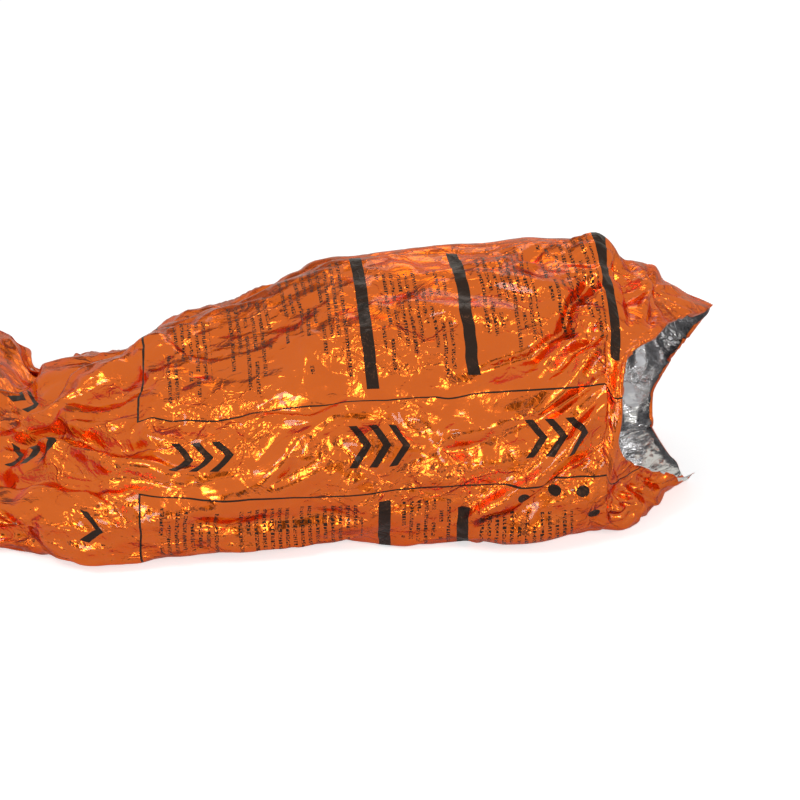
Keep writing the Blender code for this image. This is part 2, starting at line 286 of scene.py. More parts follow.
class LaidForm:
    """The smooth shape that the bag keeps in use."""

    samples = 720

    def __init__(self, sizes: BagSizes, fold_point: Sequence[float]) -> None:
        """Make the curves that the sections follow.

        Args:
            sizes: the bag's sizes.
            fold_point: a point over the middle of the fold line, in the frame of the CAD.
        """
        self.sizes = sizes
        places, *values = zip(*STATIONS)
        names = ("middle", "half", "crest", "height", "belly", "roll", "squareness", "turn")
        self.curves = {name: SmoothCurve(places, v) for name, v in zip(names, values)}
        self.shoulder = places[-1]
        angles = [r[0] for r in RIM]
        angles = [*[a - 360 for a in angles], *angles, *[a + 360 for a in angles]]
        scale = (sizes.laid_length, sizes.laid_width, sizes.shoulder_height)
        shift = (self.shoulder, 0.0, 0.0)
        self.rim_curves = [
            SmoothCurve(angles, [(r[i + 1] + shift[i]) * scale[i] for r in RIM] * 3)
            for i in range(3)
        ]
        middle = self.curves["middle"](sizes.fold_share) * sizes.laid_width
        self.origin = np.array(
            [sizes.fold_share * sizes.laid_length - fold_point[0], middle - fold_point[1], 0]
        )

    def section(self, along: float, degrees: Array) -> Array:
        """Return the points of a cross-section in some directions from its middle.

        Args:
            along: share of the bag's length from the foot.
            degrees: the directions.

        Returns:
            One point for each direction.
        """
        value = {name: float(curve(along)) for name, curve in self.curves.items()}
        turn = np.radians(degrees + value["roll"])
        out, up = np.cos(turn), np.sin(turn)
        power = 2 / np.where(up >= 0, value["squareness"], self.sizes.under_side_squareness)
        out = np.sign(out) * np.abs(out) ** power
        up = np.sign(up) * np.abs(up) ** power
        belly = value["belly"] * self.sizes.shoulder_height
        top = value["height"] * self.sizes.shoulder_height
        over, under = np.maximum(up, 0), np.minimum(up, 0)
        height = belly + (top - belly) * over + belly * self.sizes.floor_flattening * under
        width = self.sizes.laid_width
        across = value["crest"] * width * over**1.5 - value["half"] * width * out
        heading = math.radians(value["turn"])
        return np.stack(
            [
                along * self.sizes.laid_length + math.sin(heading) * across,
                value["middle"] * width + math.cos(heading) * across,
                np.maximum(height, 0),
            ],
            axis=-1,
        )

    def rim(self, degrees: Array) -> Array:
        """Return the points of the mouth's rim in some directions from its middle."""
        points = np.stack([curve(degrees) for curve in self.rim_curves], axis=-1)
        points[..., 2] = np.maximum(points[..., 2], 0)
        return points

    def ring(self, place: float) -> tuple[Array, Array, float, float]:
        """Return a closed outline round the bag.

        Args:
            place: metres along the flat sheet from the foot.

        Returns:
            The outline's points, the distance to each from the ground weld, and the distances
            to the top weld and all the way round.
        """
        sizes = self.sizes
        degrees = sizes.ground_weld_angle + 360 * np.arange(self.samples + 1) / self.samples
        along = place / sizes.sheet_length
        neck = max(0.0, (along - self.shoulder) / (1 - self.shoulder))
        points = self.section(min(along, self.shoulder), degrees)
        if neck:
            points = points + (self.rim(degrees) - points) * neck
        points = points - self.origin
        lengths = cumulative(points)
        turned = sizes.top_weld_angle - sizes.ground_weld_angle
        return points, lengths, lengths[round(self.samples * turned / 360)], lengths[-1]

    def tube(self, grid: TubeGrid) -> Array:
        """Return the points of a grid over the whole bag, one row for each ring.

        Args:
            grid: where its lines run.

        Returns:
            Points by ring and column.
        """
        edge = self.sizes.weld_width / 2
        near, far = np.linspace(0, 1, grid.near + 1), np.linspace(0, 1, grid.far + 1)
        weld = np.linspace(-edge, edge, grid.weld + 1)[1:-1]
        rows = []
        for place in grid.rows:
            points, lengths, top, whole = self.ring(place)
            wanted = np.concatenate(
                [
                    edge + (top - 2 * edge) * near,
                    top + weld,
                    top + edge + (whole - top - 2 * edge) * far,
                    whole + weld,
                ]
            )
            rows.append(resampled(points, lengths, wanted % whole))
        return np.array(rows)


class FlatMap:
    """Where each point of the grid lies on its flat sheet, in metres."""

    def __init__(self, points: Array, grid: TubeGrid, sizes: BagSizes, shoulder: float) -> None:
        """Lay the grid out flat.

        Args:
            points: the smooth grid.
            grid: where its lines run.
            sizes: the bag's sizes.
            shoulder: the share of the length where the neck starts.
        """
        edge, width = sizes.weld_width / 2, sizes.sheet_width
        near = np.linspace(edge, width - edge, grid.near + 1)
        far = np.linspace(width - edge, edge, grid.far + 1)
        top = np.full(grid.weld - 1, width)
        ground = np.zeros(grid.weld - 1)
        self.across = np.broadcast_to(np.concatenate([near, top, far, ground]), points.shape[:2])
        whole = np.concatenate(
            [near, np.linspace(width - edge, width + edge, grid.weld + 1)[1:-1], 2 * width - far,
             np.linspace(2 * width - edge, 2 * width + edge, grid.weld + 1)[1:-1]]
        )
        self.round = np.broadcast_to(whole, points.shape[:2])
        first = int(np.searchsorted(grid.rows, shoulder * sizes.sheet_length))
        arc = cumulative(points) / (1 - sizes.length_taken_up)
        along = np.repeat(grid.rows[:, None], points.shape[1], axis=1)
        along[first:] = along[first] + arc[first:] - arc[first]
        self.along = along

    @property
    def pairs(self) -> Array:
        """Metres along and across at each point."""
        return np.stack([self.along, self.across], axis=-1)


def raised(points: Array, least: float) -> Array:
    """Return points none of which is lower than a given height."""
    points = points.copy()
    points[..., 2] = np.maximum(points[..., 2], least)
    return points


def outward(points: Array) -> Array:
    """Return the outward direction at each point of a grid that closes round on itself."""
    along = np.gradient(points, axis=0)
    across = np.roll(points, -1, axis=1) - np.roll(points, 1, axis=1)
    return unit(np.cross(along, across))


def softened_line(values: Array, passes: int) -> Array:
    """Return a line of values averaged with its neighbours, held at its ends."""
    for _ in range(passes):
        wide = np.concatenate([values[:1], values, values[-1:]])
        values = 0.5 * values + 0.25 * (wide[:-2] + wide[2:])
    return values


def softened(field: Array, passes: int) -> Array:
    """Return a grid of values or vectors averaged with its neighbours, closed round.

    Args:
        field: values or vectors by row and column.
        passes: how often.

    Returns:
        The softened grid.
    """
    for _ in range(passes):
        rows = np.concatenate([field[:1], field, field[-1:]])
        field = 0.5 * field + 0.25 * (rows[:-2] + rows[2:])
        field = 0.5 * field + 0.25 * (np.roll(field, 1, axis=1) + np.roll(field, -1, axis=1))
    return field


@dataclass(frozen=True)
class Crumple:
    """Random flat facets that meet in sharp creases, as in film that was packed small.

    `spacing` is the mean distance between the corners of facets, `height` how far they stand
    in or out and `length_ratio` how much longer facets are along the bag than across it.
    """

    spacing: float
    height: float
    length_ratio: float
    slant: float
    seed: int

    def over(self, across: Array, along: Array) -> Array:
        """Return how far each point of a flat sheet stands out.

        Args:
            across: metres across the sheet at each point.
            along: metres along it.

        Returns:
            Metres outwards at each point.
        """
        turn = math.radians(self.slant)
        x = (across * math.cos(turn) + along * math.sin(turn)) * self.length_ratio
        y = along * math.cos(turn) - across * math.sin(turn)
        rng = np.random.default_rng(self.seed)
        low = np.array([x.min(), y.min()]) - 2 * self.spacing
        high = np.array([x.max(), y.max()]) + 2 * self.spacing
        counts = np.ceil((high - low) / self.spacing).astype(int)
        i, j = np.meshgrid(np.arange(counts[0]), np.arange(counts[1]), indexing="ij")
        jitter = rng.uniform(-0.46, 0.46, (2, *i.shape))
        spots = np.stack(
            [low[0] + (i + 0.5 * (j % 2) + jitter[0]) * self.spacing,
             low[1] + (j + jitter[1]) * self.spacing], axis=-1
        ).reshape(-1, 2)
        heights = rng.uniform(-1, 1, len(spots))
        flat = [Vector(s) for s in spots]
        corners, _, faces, sources, *_ = delaunay_2d_cdt(flat, [], [], 0, 1e-7)
        solid = [
            (c.x, c.y, heights[s[0]] if s else 0.0) for c, s in zip(corners, sources)
        ]
        tree = BVHTree.FromPolygons(solid, faces, all_triangles=False)
        down = Vector((0, 0, -1))
        found = np.zeros(x.size)
        for k, (px, py) in enumerate(zip(x.ravel(), y.ravel())):
            hit = tree.ray_cast(Vector((px, py, 5.0)), down)[0]
            found[k] = hit.z if hit else 0.0
        return found.reshape(x.shape) * self.height


class Crease(Enum):
    """How a fold is shaped across its line."""

    SHARP = "sharp"
    SOFT = "soft"

    def profile(self, inside: Array) -> Array:
        """Return the share of the depth, given 0 at a fold's edge and 1 on its line."""
        return inside**1.2 if self is Crease.SHARP else inside * inside * (3 - 2 * inside)


@dataclass(frozen=True)
class Fold:
    """A long fold in the near sheet, along a line of flat points (along, across).

    `depth` is how far it is pressed in, or stands out if negative, and `width` how far its
    slopes reach on either side.  `lean` makes the slope on one side steeper than on the other.
    """

    line: tuple[tuple[float, float], ...]
    width: float
    depth: float
    lean: float = 0.0
    crease: Crease = Crease.SHARP
    fades: tuple[float, float] = (0.2, 0.35)

    def over(self, across: Array, along: Array) -> Array:
        """Return how far each point of the flat sheet stands out.

        Args:
            across: metres across the sheet at each point.
            along: metres along it.

        Returns:
            Metres outwards at each point.
        """
        spots = np.array(self.line)
        steps = np.diff(spots, axis=0)
        lengths = np.linalg.norm(steps, axis=1)
        before = np.concatenate([[0.0], np.cumsum(lengths)])
        nearest = np.full(across.shape, np.inf)
        side, share = np.zeros(across.shape), np.zeros(across.shape)
        for spot, step, length, gone in zip(spots, steps, lengths, before):
            x, y = along - spot[0], across - spot[1]
            t = np.clip((x * step[0] + y * step[1]) / length**2, 0, 1)
            away = np.hypot(x - t * step[0], y - t * step[1])
            closer = away < nearest
            turned = np.sign(step[0] * y - step[1] * x)
            nearest = np.where(closer, away, nearest)
            side = np.where(closer, turned, side)
            share = np.where(closer, (gone + t * length) / before[-1], share)
        first, last = self.fades
        fade = smoothstep(-0.01, first, share) * (1 - smoothstep(1 - last, 1.01, share))
        reach = self.width * (1 + self.lean * side) * (0.6 + 0.4 * fade)
        return -self.depth * fade * self.crease.profile(np.clip(1 - nearest / reach, 0, 1))


@dataclass(frozen=True)
class Gather:
    """Folds that fan out from a point where the film is drawn together.

    `centre` is the flat point (along, across), `count` the number of folds in a full turn,
    `reach` how far they run and `height` how far they stand out where they are deepest, at
    `start` from the centre or more.  They sway to either side by `sway` turns, with `waves`
    radians of sway in a metre, and die out over `blur` degrees past each end of `directions`.
    """

    centre: tuple[float, float]
    count: int
    reach: float
    height: float
    seed: int
    directions: tuple[float, float] = (-180.0, 180.0)
    blur: float = 12.0
    start: float = 0.07
    sway: float = 0.008
    waves: float = 34.0

    def over(self, across: Array, along: Array) -> Array:
        """Return how far each point of the flat sheet stands out.

        Args:
            across: metres across the sheet at each point.
            along: metres along it.

        Returns:
            Metres outwards at each point.
        """
        x, y = along - self.centre[0], across - self.centre[1]
        away, angle = np.hypot(x, y), np.arctan2(y, x)
        rng, order = np.random.default_rng(self.seed), np.arange(self.count)
        edges = np.sort((order + rng.uniform(-0.35, 0.35, self.count)) / self.count) - 0.5
        heights = np.where(order % 2, 1.0, -1.0) * rng.uniform(0.45, 1.0, self.count)
        swing = self.sway * np.sin(away * self.waves + rng.uniform(0, 6))
        turns = angle / (2 * math.pi) + swing * np.minimum(1, away / 0.15)
        wave = np.interp((turns + 0.5) % 1 - 0.5, edges, heights, period=1.0)
        degrees, (low, high) = np.degrees(angle), self.directions
        window = smoothstep(low - self.blur, low + self.blur, degrees)
        window = window * (1 - smoothstep(high - self.blur, high + self.blur, degrees))
        fall = np.exp(-((away / self.reach) ** 1.5))
        return wave * smoothstep(0.0, self.start, away) * fall * window * self.height


CRUMPLES = (
    Crumple(0.090, 0.0105, 0.75, 24.0, 11),
    Crumple(0.040, 0.0062, 0.85, -18.0, 12),
    Crumple(0.019, 0.0012, 1.00, 8.0, 13),
)

# Long folds of the near sheet, in metres along and across the flat sheet
FOLDS = (
    # From the neck down and back over the shoulder part
    Fold(((1.938, 0.700), (1.892, 0.733), (1.842, 0.611), (1.788, 0.542), (1.707, 0.516),
          (1.631, 0.479)), 0.028, 0.020, 0.45, fades=(0.12, 0.4)),
    Fold(((1.944, 0.609), (1.886, 0.564), (1.840, 0.513), (1.786, 0.470)), 0.020, 0.017, -0.4),
    Fold(((1.943, 0.572), (1.894, 0.538), (1.839, 0.469), (1.769, 0.394)), 0.016, -0.012, 0.3),
    Fold(((1.945, 0.471), (1.885, 0.406), (1.838, 0.346), (1.795, 0.304), (1.735, 0.258),
          (1.685, 0.218), (1.634, 0.175)), 0.028, -0.017, 0.4, fades=(0.2, 0.25)),
    Fold(((1.949, 0.411), (1.908, 0.344), (1.848, 0.294), (1.787, 0.247), (1.720, 0.177)),
         0.024, 0.015, 0.3),
    Fold(((1.950, 0.520), (1.900, 0.480), (1.830, 0.430), (1.760, 0.405)), 0.014, 0.010),
    # Across the lower half, where the bag narrows
    Fold(((0.850, 0.400), (0.952, 0.430), (1.033, 0.418), (1.141, 0.400), (1.251, 0.405)),
         0.048, 0.022, -0.3, Crease.SOFT, (0.15, 0.45)),
    Fold(((0.850, 0.392), (0.985, 0.385), (1.087, 0.358), (1.180, 0.336), (1.276, 0.340)),
         0.034, -0.014, 0.2, Crease.SOFT),
    Fold(((0.830, 0.300), (0.888, 0.285), (0.958, 0.283), (1.060, 0.300), (1.181, 0.318)),
         0.046, 0.022, 0.25, Crease.SOFT, (0.1, 0.5)),
    Fold(((1.033, 0.288), (1.079, 0.266), (1.104, 0.222), (1.097, 0.172)), 0.020, 0.013, 0.3),
    Fold(((0.880, 0.180), (0.905, 0.164), (0.928, 0.145), (0.939, 0.086)), 0.018, 0.015, -0.3),
    Fold(((0.885, 0.455), (0.955, 0.506), (1.034, 0.623), (1.100, 0.726)), 0.044, -0.020, -0.3),
    Fold(((0.866, 0.500), (0.914, 0.570), (1.004, 0.684), (1.077, 0.752)), 0.030, 0.018, 0.3),
    Fold(((1.101, 0.718), (1.122, 0.628), (1.146, 0.553)), 0.020, -0.010),
    Fold(((1.126, 0.800), (1.180, 0.700), (1.260, 0.640)), 0.028, 0.010, 0.3, Crease.SOFT),
    # Over the middle
    Fold(((1.307, 0.477), (1.410, 0.454), (1.469, 0.485), (1.546, 0.467)), 0.026, 0.010, 0.3),
    Fold(((1.330, 0.300), (1.393, 0.390), (1.444, 0.440), (1.500, 0.452)), 0.030, -0.013, 0.4),
    Fold(((1.330, 0.304), (1.393, 0.337), (1.443, 0.365)), 0.016, 0.010, 0.3),
    Fold(((1.386, 0.720), (1.400, 0.573), (1.393, 0.484)), 0.024, -0.010, 0.4),
    Fold(((1.563, 0.426), (1.648, 0.360), (1.734, 0.376)), 0.024, 0.010, -0.3),
    Fold(((1.170, 0.230), (1.294, 0.215), (1.420, 0.232), (1.560, 0.215)), 0.034, 0.012, 0.3,
         Crease.SOFT),
    Fold(((1.250, 0.130), (1.380, 0.160), (1.500, 0.130)), 0.024, -0.008, 0.2),
    # At the lower lip of the mouth
    Fold(((1.957, 0.335), (2.005, 0.239), (2.041, 0.111)), 0.018, 0.016, 0.2, fades=(0.1, 0.3)),
    Fold(((1.998, 0.310), (2.042, 0.222), (2.083, 0.145)), 0.015, 0.013, -0.3, fades=(0.1, 0.3)),
    Fold(((1.975, 0.345), (2.030, 0.300), (2.080, 0.240)), 0.013, -0.011, fades=(0.1, 0.3)),
    # Where the neck is drawn in
    Fold(((1.945, 0.870), (1.959, 0.842), (1.983, 0.738), (1.969, 0.615), (1.955, 0.560)),
         0.024, 0.014, 0.3, fades=(0.15, 0.15)),
    Fold(((1.990, 0.870), (2.007, 0.852), (2.023, 0.770), (1.986, 0.626)), 0.018, -0.009, 0.2),
    Fold(((2.020, 0.880), (2.045, 0.800), (2.020, 0.700), (1.990, 0.600)), 0.016, 0.009, -0.2),
    # Towards the foot end, past the photograph's edge
    Fold(((0.540, 0.300), (0.640, 0.330), (0.760, 0.400), (0.880, 0.440)), 0.038, 0.018, 0.3),
    Fold(((0.620, 0.560), (0.720, 0.600), (0.850, 0.660)), 0.036, 0.018, -0.3),
    Fold(((0.520, 0.180), (0.650, 0.200), (0.780, 0.170)), 0.030, -0.012, 0.2),
)

# Long folds down the far side, in metres along and round the whole bag
BACK_FOLDS = (
    Fold(((1.920, 1.020), (1.800, 1.100), (1.660, 1.220), (1.520, 1.280)), 0.034, 0.018, 0.3),
    Fold(((1.900, 1.140), (1.780, 1.200), (1.620, 1.300)), 0.026, -0.010, -0.3),
    Fold(((1.930, 1.240), (1.840, 1.270), (1.700, 1.330)), 0.022, 0.012),
    Fold(((1.500, 0.980), (1.400, 1.080), (1.260, 1.160), (1.120, 1.200)), 0.036, 0.018, 0.2),
    Fold(((1.340, 0.960), (1.220, 1.040), (1.080, 1.080)), 0.030, -0.014, 0.3),
    Fold(((1.040, 1.000), (0.940, 1.100), (0.820, 1.180)), 0.034, 0.020, -0.2),
    Fold(((0.960, 0.960), (0.880, 1.040), (0.780, 1.080)), 0.024, -0.012),
)

# Dips and swells that cross the welds too, in metres along and round the whole bag
DIPS = (
    Fold(((0.812, 0.600), (0.820, 0.850), (0.830, 1.120)), 0.062, 0.028, 0.0, Crease.SOFT),
    Fold(((0.915, 0.600), (0.920, 0.850), (0.930, 1.120)), 0.070, -0.022, 0.0, Crease.SOFT),
    Fold(((1.120, 0.650), (1.120, 0.850), (1.125, 1.100)), 0.080, -0.014, 0.0, Crease.SOFT),
    Fold(((1.900, 0.700), (1.900, 0.880), (1.900, 1.050)), 0.060, -0.006, 0.0, Crease.SOFT),
    Fold(((1.985, 0.720), (1.985, 0.900), (1.985, 1.050)), 0.045, 0.016, 0.0, Crease.SOFT),
    Fold(((0.840, 0.060), (0.930, 0.090), (1.000, 0.070)), 0.100, 0.024, 0.0, Crease.SOFT,
         (0.4, 0.4)),
    Fold(((1.690, 0.050), (1.740, 0.060), (1.790, 0.050)), 0.070, 0.012, 0.0, Crease.SOFT,
         (0.4, 0.4)),
    Fold(((1.560, 0.850), (1.680, 0.880), (1.780, 0.880)), 0.090, 0.009, 0.0, Crease.SOFT,
         (0.3, 0.3)),
    Fold(((1.930, 0.090), (2.010, 0.125), (2.080, 0.165)), 0.080, -0.022, 0.0, Crease.SOFT,
         (0.3, 0.3)),
)

GATHERS = (
    Gather((1.965, 0.60), 30, 0.14, 0.006, 21),
    Gather((1.985, 0.37), 26, 0.12, 0.006, 22),
    Gather((1.950, 0.270), 34, 0.11, 0.007, 29, (-110.0, 20.0)),
    Gather((2.010, 0.190), 26, 0.10, 0.009, 30),
    Gather((2.03, 0.80), 26, 0.10, 0.009, 23),
    Gather((0.93, 0.44), 22, 0.14, 0.006, 24),
    Gather((0.44, 0.60), 20, 0.20, 0.006, 25),
    Gather((2.04, 1.15), 28, 0.16, 0.009, 26),
    Gather((2.03, 1.55), 28, 0.15, 0.009, 27),
    Gather((1.02, 1.05), 22, 0.18, 0.008, 28),
)

# Waves whose sum sets how crumpled the film is: radians per metre along and round, and phase
PATCHES = ((11.0, 6.0, 0.4), (-7.0, 15.0, 2.1), (17.0, -11.0, 4.0), (5.0, 21.0, 5.3))


@dataclass(frozen=True)
class Relief:
    """How far folds, gathers and crumples stand out over the smooth shape.

    The film is crumpled by `calm` at least, and by up to `patched` more in patches, `necked`
    from the neck on, `narrowed` where the bag narrows and `lipped` at the lower lip.  The
    middle and reach of the last two are in metres, along the sheet or along and round the bag.
    Film is held by the floor, by `floor_hold`, and where the mouth is drawn in, by `drawn_hold`.
    """

    sizes: BagSizes
    calm: float = 0.42
    patched: float = 0.55
    necked: float = 0.25
    neck: tuple[float, float] = (1.86, 1.98)
    narrowed: float = 0.30
    narrow_middle: float = 1.0
    narrow_reach: float = 0.18
    lipped: float = 0.6
    lip_middle: tuple[float, float] = (2.0, 0.17)
    lip_reach: tuple[float, float] = (0.07, 0.12)
    floor_hold: float = 0.75
    drawn_hold: float = 0.80
    drawn_along: tuple[float, float] = (1.88, 1.94)
    drawn_round: tuple[tuple[float, float], tuple[float, float]] = ((0.19, 0.29), (0.62, 0.74))
    free_from_seam: float = 0.05
    free_from_foot: tuple[float, float] = (0.01, 0.10)

    def strength(self, flat: FlatMap) -> Array:
        """Return how strongly the film is crumpled.

        Args:
            flat: where each point lies on its sheet.

        Returns:
            A factor for each point, about 0.4 to 1.5.
        """
        patches = sum(np.sin(flat.along * a + flat.round * b + c) for a, b, c in PATCHES)
        strength = self.calm + self.patched * smoothstep(-0.6, 1.6, patches)
        strength = strength + self.necked * smoothstep(*self.neck, flat.along)
        along = (flat.along - self.lip_middle[0]) / self.lip_reach[0]
        lip = np.exp(-(along ** 2) - ((flat.round - self.lip_middle[1]) / self.lip_reach[1]) ** 2)
        off = (flat.along - self.narrow_middle) / self.narrow_reach
        return strength + self.narrowed * np.exp(-(off ** 2)) + self.lipped * lip

    def freedom(self, flat: FlatMap, normal: Array) -> Array:
        """Return how free the film is: less at welds, on the floor and where it is drawn in.

        Args:
            flat: where each point lies on its sheet.
            normal: the outward direction at each.

        Returns:
            A factor from 0 to 1 for each point.
        """
        under = smoothstep(-0.35, -0.9, normal[..., 2])
        seam = np.minimum(flat.round, np.abs(flat.round - 2 * self.sizes.sheet_width))
        foot = smoothstep(*self.free_from_foot, flat.along)
        starts, ends = self.drawn_round
        drawn = smoothstep(*starts, flat.round) * (1 - smoothstep(*ends, flat.round))
        drawn = drawn * smoothstep(*self.drawn_along, flat.along)
        held = (1 - self.floor_hold * under) * (1 - self.drawn_hold * drawn)
        return held * smoothstep(0.0, self.free_from_seam, seam) * foot

    def dips(self, flat: FlatMap) -> Array:
        """Return the height of the dips and swells that every sheet and weld follows."""
        return sum(dip.over(flat.round, flat.along) for dip in DIPS)

    def large(self, grid: TubeGrid, flat: FlatMap, normal: Array) -> Array:
        """Return the height of the folds, gathers and widest facets.

        Args:
            grid: where the lines of the grid run.
            flat: where each point lies on its sheet.
            normal: the outward direction at each.

        Returns:
            Metres outwards at each point.
        """
        near = np.zeros(flat.along.shape)
        near[:, grid.near_columns] = 1.0
        shaped = sum(g.over(flat.round, flat.along) for g in GATHERS)
        shaped = shaped + near * sum(f.over(flat.across, flat.along) for f in FOLDS)
        shaped = shaped + sum(f.over(flat.round, flat.along) for f in BACK_FOLDS)
        shaped = shaped + CRUMPLES[0].over(flat.round, flat.along) * self.strength(flat)
        return shaped * self.freedom(flat, normal)

    def small(self, flat: FlatMap, normal: Array) -> Array:
        """Return the height of the smaller facets."""
        facets = sum(c.over(flat.round, flat.along) for c in CRUMPLES[1:])
        return facets * self.strength(flat) * self.freedom(flat, normal)


# How the film behaves as cloth: thin, hard to stretch and easy to bend
FILM_CLOTH = {
    "quality": 8, "mass": 0.02, "tension_stiffness": 60, "compression_stiffness": 60,
    "shear_stiffness": 30, "bending_stiffness": 0.001, "tension_damping": 0.5,
    "compression_damping": 0.5, "shear_damping": 0.5, "bending_damping": 0.1,
}


@dataclass
class Drape:
    """Film that is a little larger than the shape under it, let down over that shape.

    What is kept is how the film buckles, by a share of how far it moves straight out and one of
    how far it slides.  Its slow drift from the shape is taken out again in `drift_passes`, so
    that the bag keeps its outline, and no point moves further than `most`.  `growth` is how
    much larger the film is, as a share, and `clearance` how far inside it the shape lies.  The
    film starts with `start_share` of its large folds, none deeper than `start_depth`.  Within
    `neck`, in metres along it, it comes to be held by `neck_hold`.
    """

    form: LaidForm
    relief: Relief
    steps: int = 22
    growth: float = 0.08
    clearance: float = 0.006
    most: float = 0.018
    drift_passes: int = 36
    kept_straight: float = 0.60
    kept_sideways: float = 0.25
    start_share: float = 0.5
    start_depth: float = 0.002
    neck: tuple[float, float] = (1.88, 1.97)
    neck_hold: float = 0.85

    def __post_init__(self) -> None:
        """Lay out the coarse grid that is draped."""
        lengths = np.concatenate([np.linspace(0.010, 0.85, 56), np.linspace(0.86, 2.13, 132)])
        self.grid = TubeGrid(lengths, 80, 48, 2)

    @staticmethod
    def _tube(name: str, points: Array) -> bpy.types.Object:
        """Return a plain tube mesh object over a grid of points.

        Args:
            name: the object's name.
            points: points by ring and column.

        Returns:
            The object, in the scene.
        """
        rows, columns, _ = points.shape
        i, j = np.meshgrid(np.arange(rows - 1), np.arange(columns), indexing="ij")
        k = (j + 1) % columns
        faces = np.stack([i * columns + j, i * columns + k, (i + 1) * columns + k,
                          (i + 1) * columns + j], axis=-1).reshape(-1, 4)
        data = bpy.data.meshes.new(name)
        data.from_pydata(points.reshape(-1, 3).tolist(), [], faces.tolist())
        return placed(name, data)

    @staticmethod
    def _obstacle(made: bpy.types.Object) -> None:
        """Make an object something that the film can't pass through."""
        made.modifiers.new("solid", "COLLISION")
        made.collision.thickness_outer = 0.001
        made.collision.cloth_friction = 15

    def _film(self, points: Array) -> bpy.types.Object:
        """Return the film with its Cloth modifier, held at the mouth and the foot.

        Args:
            points: its points before it settles.

        Returns:
            The film, in the scene.
        """
        film = self._tube("film", points)
        held = film.vertex_groups.new(name="held")
        rows, columns = points.shape[:2]
        ends = (*range(columns), *range((rows - 1) * columns, rows * columns))
        held.add([int(n) for n in ends], 1.0, "REPLACE")
        cloth = film.modifiers.new("cloth", "CLOTH")
        for setting, value in FILM_CLOTH.items():
            setattr(cloth.settings, setting, value)
        cloth.settings.shrink_min = -self.growth
        cloth.settings.vertex_group_mass = "held"
        cloth.collision_settings.distance_min = 0.002
        cloth.point_cache.frame_start, cloth.point_cache.frame_end = 1, self.steps
        return film

    def _settled(self, start: Array, under: Array) -> Array:
        """Return where the film comes to rest.

        Args:
            start: its points before it settles.
            under: the points of the shape that it lies on.

        Returns:
            Its points in the same order as at the start.
        """
        body = self._tube("shape_under_film", under)
        floor = level_panel("floor_under_film", 2, -0.001)
        for obstacle in (body, floor):
            self._obstacle(obstacle)
        film = self._film(start)
        scene = bpy.context.scene
        for step in range(1, self.steps + 1):
            scene.frame_set(step)
        settled = film.evaluated_get(bpy.context.evaluated_depsgraph_get()).to_mesh()
        after = np.empty(len(settled.vertices) * 3)
        settled.vertices.foreach_get("co", after)
        scene.frame_set(1)
        for made in (film, body, floor):
            bpy.data.objects.remove(made, do_unlink=True)
        return after.reshape(start.shape)

    def moved(self) -> Array:
        """Run the simulation and return how far the film lies from the smooth shape.

        Returns:
            A vector for each point of the coarse grid.
        """
        smooth = self.form.tube(self.grid)
        flat = FlatMap(smooth, self.grid, self.form.sizes, self.form.shoulder)
        normal = outward(smooth)
        large = self.relief.large(self.grid, flat, normal)
        lift = np.maximum(self.start_share * large, -self.start_depth)
        start = raised(smooth + normal * lift[..., None], 0.001)
        moved = self._settled(start, smooth - normal * self.clearance) - smooth
        moved = moved - softened(moved, self.drift_passes)
        straight = (moved * normal).sum(axis=-1, keepdims=True) * normal
        moved = self.kept_straight * straight + self.kept_sideways * (moved - straight)
        moved = moved * (1 - self.neck_hold * smoothstep(*self.neck, flat.along))[..., None]
        far = np.linalg.norm(moved, axis=-1, keepdims=True)
        shift = (moved * normal).sum(axis=-1)
        log.info("film settled: mean %.1f mm, most %.1f mm, in %.1f mm, out %.1f mm",
                 far.mean() * 1e3, far.max() * 1e3, np.quantile(shift, 0.05) * 1e3,
                 np.quantile(shift, 0.95) * 1e3)
        return moved * np.minimum(1, self.most / np.maximum(far, 1e-9))

    def over(self, grid: TubeGrid) -> Array:
        """Return how far each point of a finer grid moves.

        Args:
            grid: where the lines of the finer grid run.

        Returns:
            A vector for each of its points.
        """
        moved, here, wanted = self.moved(), self._round(self.grid), self._round(grid)
        here = np.append(here, here[0] + 1.0)
        wide = np.concatenate([moved, moved[:, :1]], axis=1)
        across = np.stack([resampled(row, here, wanted) for row in wide])
        columns = [resampled(across[:, j], self.grid.rows, grid.rows) for j in range(grid.count)]
        return softened(np.stack(columns, axis=1), 1)

    @staticmethod
    def _round(grid: TubeGrid) -> Array:
        """Return the share of the way round of each column, with a sheet as one half."""
        near = np.linspace(0.003, 0.497, grid.near + 1)
        far = np.linspace(0.503, 0.997, grid.far + 1)
        top = np.linspace(0.497, 0.503, grid.weld + 1)[1:-1]
        ground = np.linspace(0.997, 1.003, grid.weld + 1)[1:-1]
        return np.concatenate([near, top, far, ground])


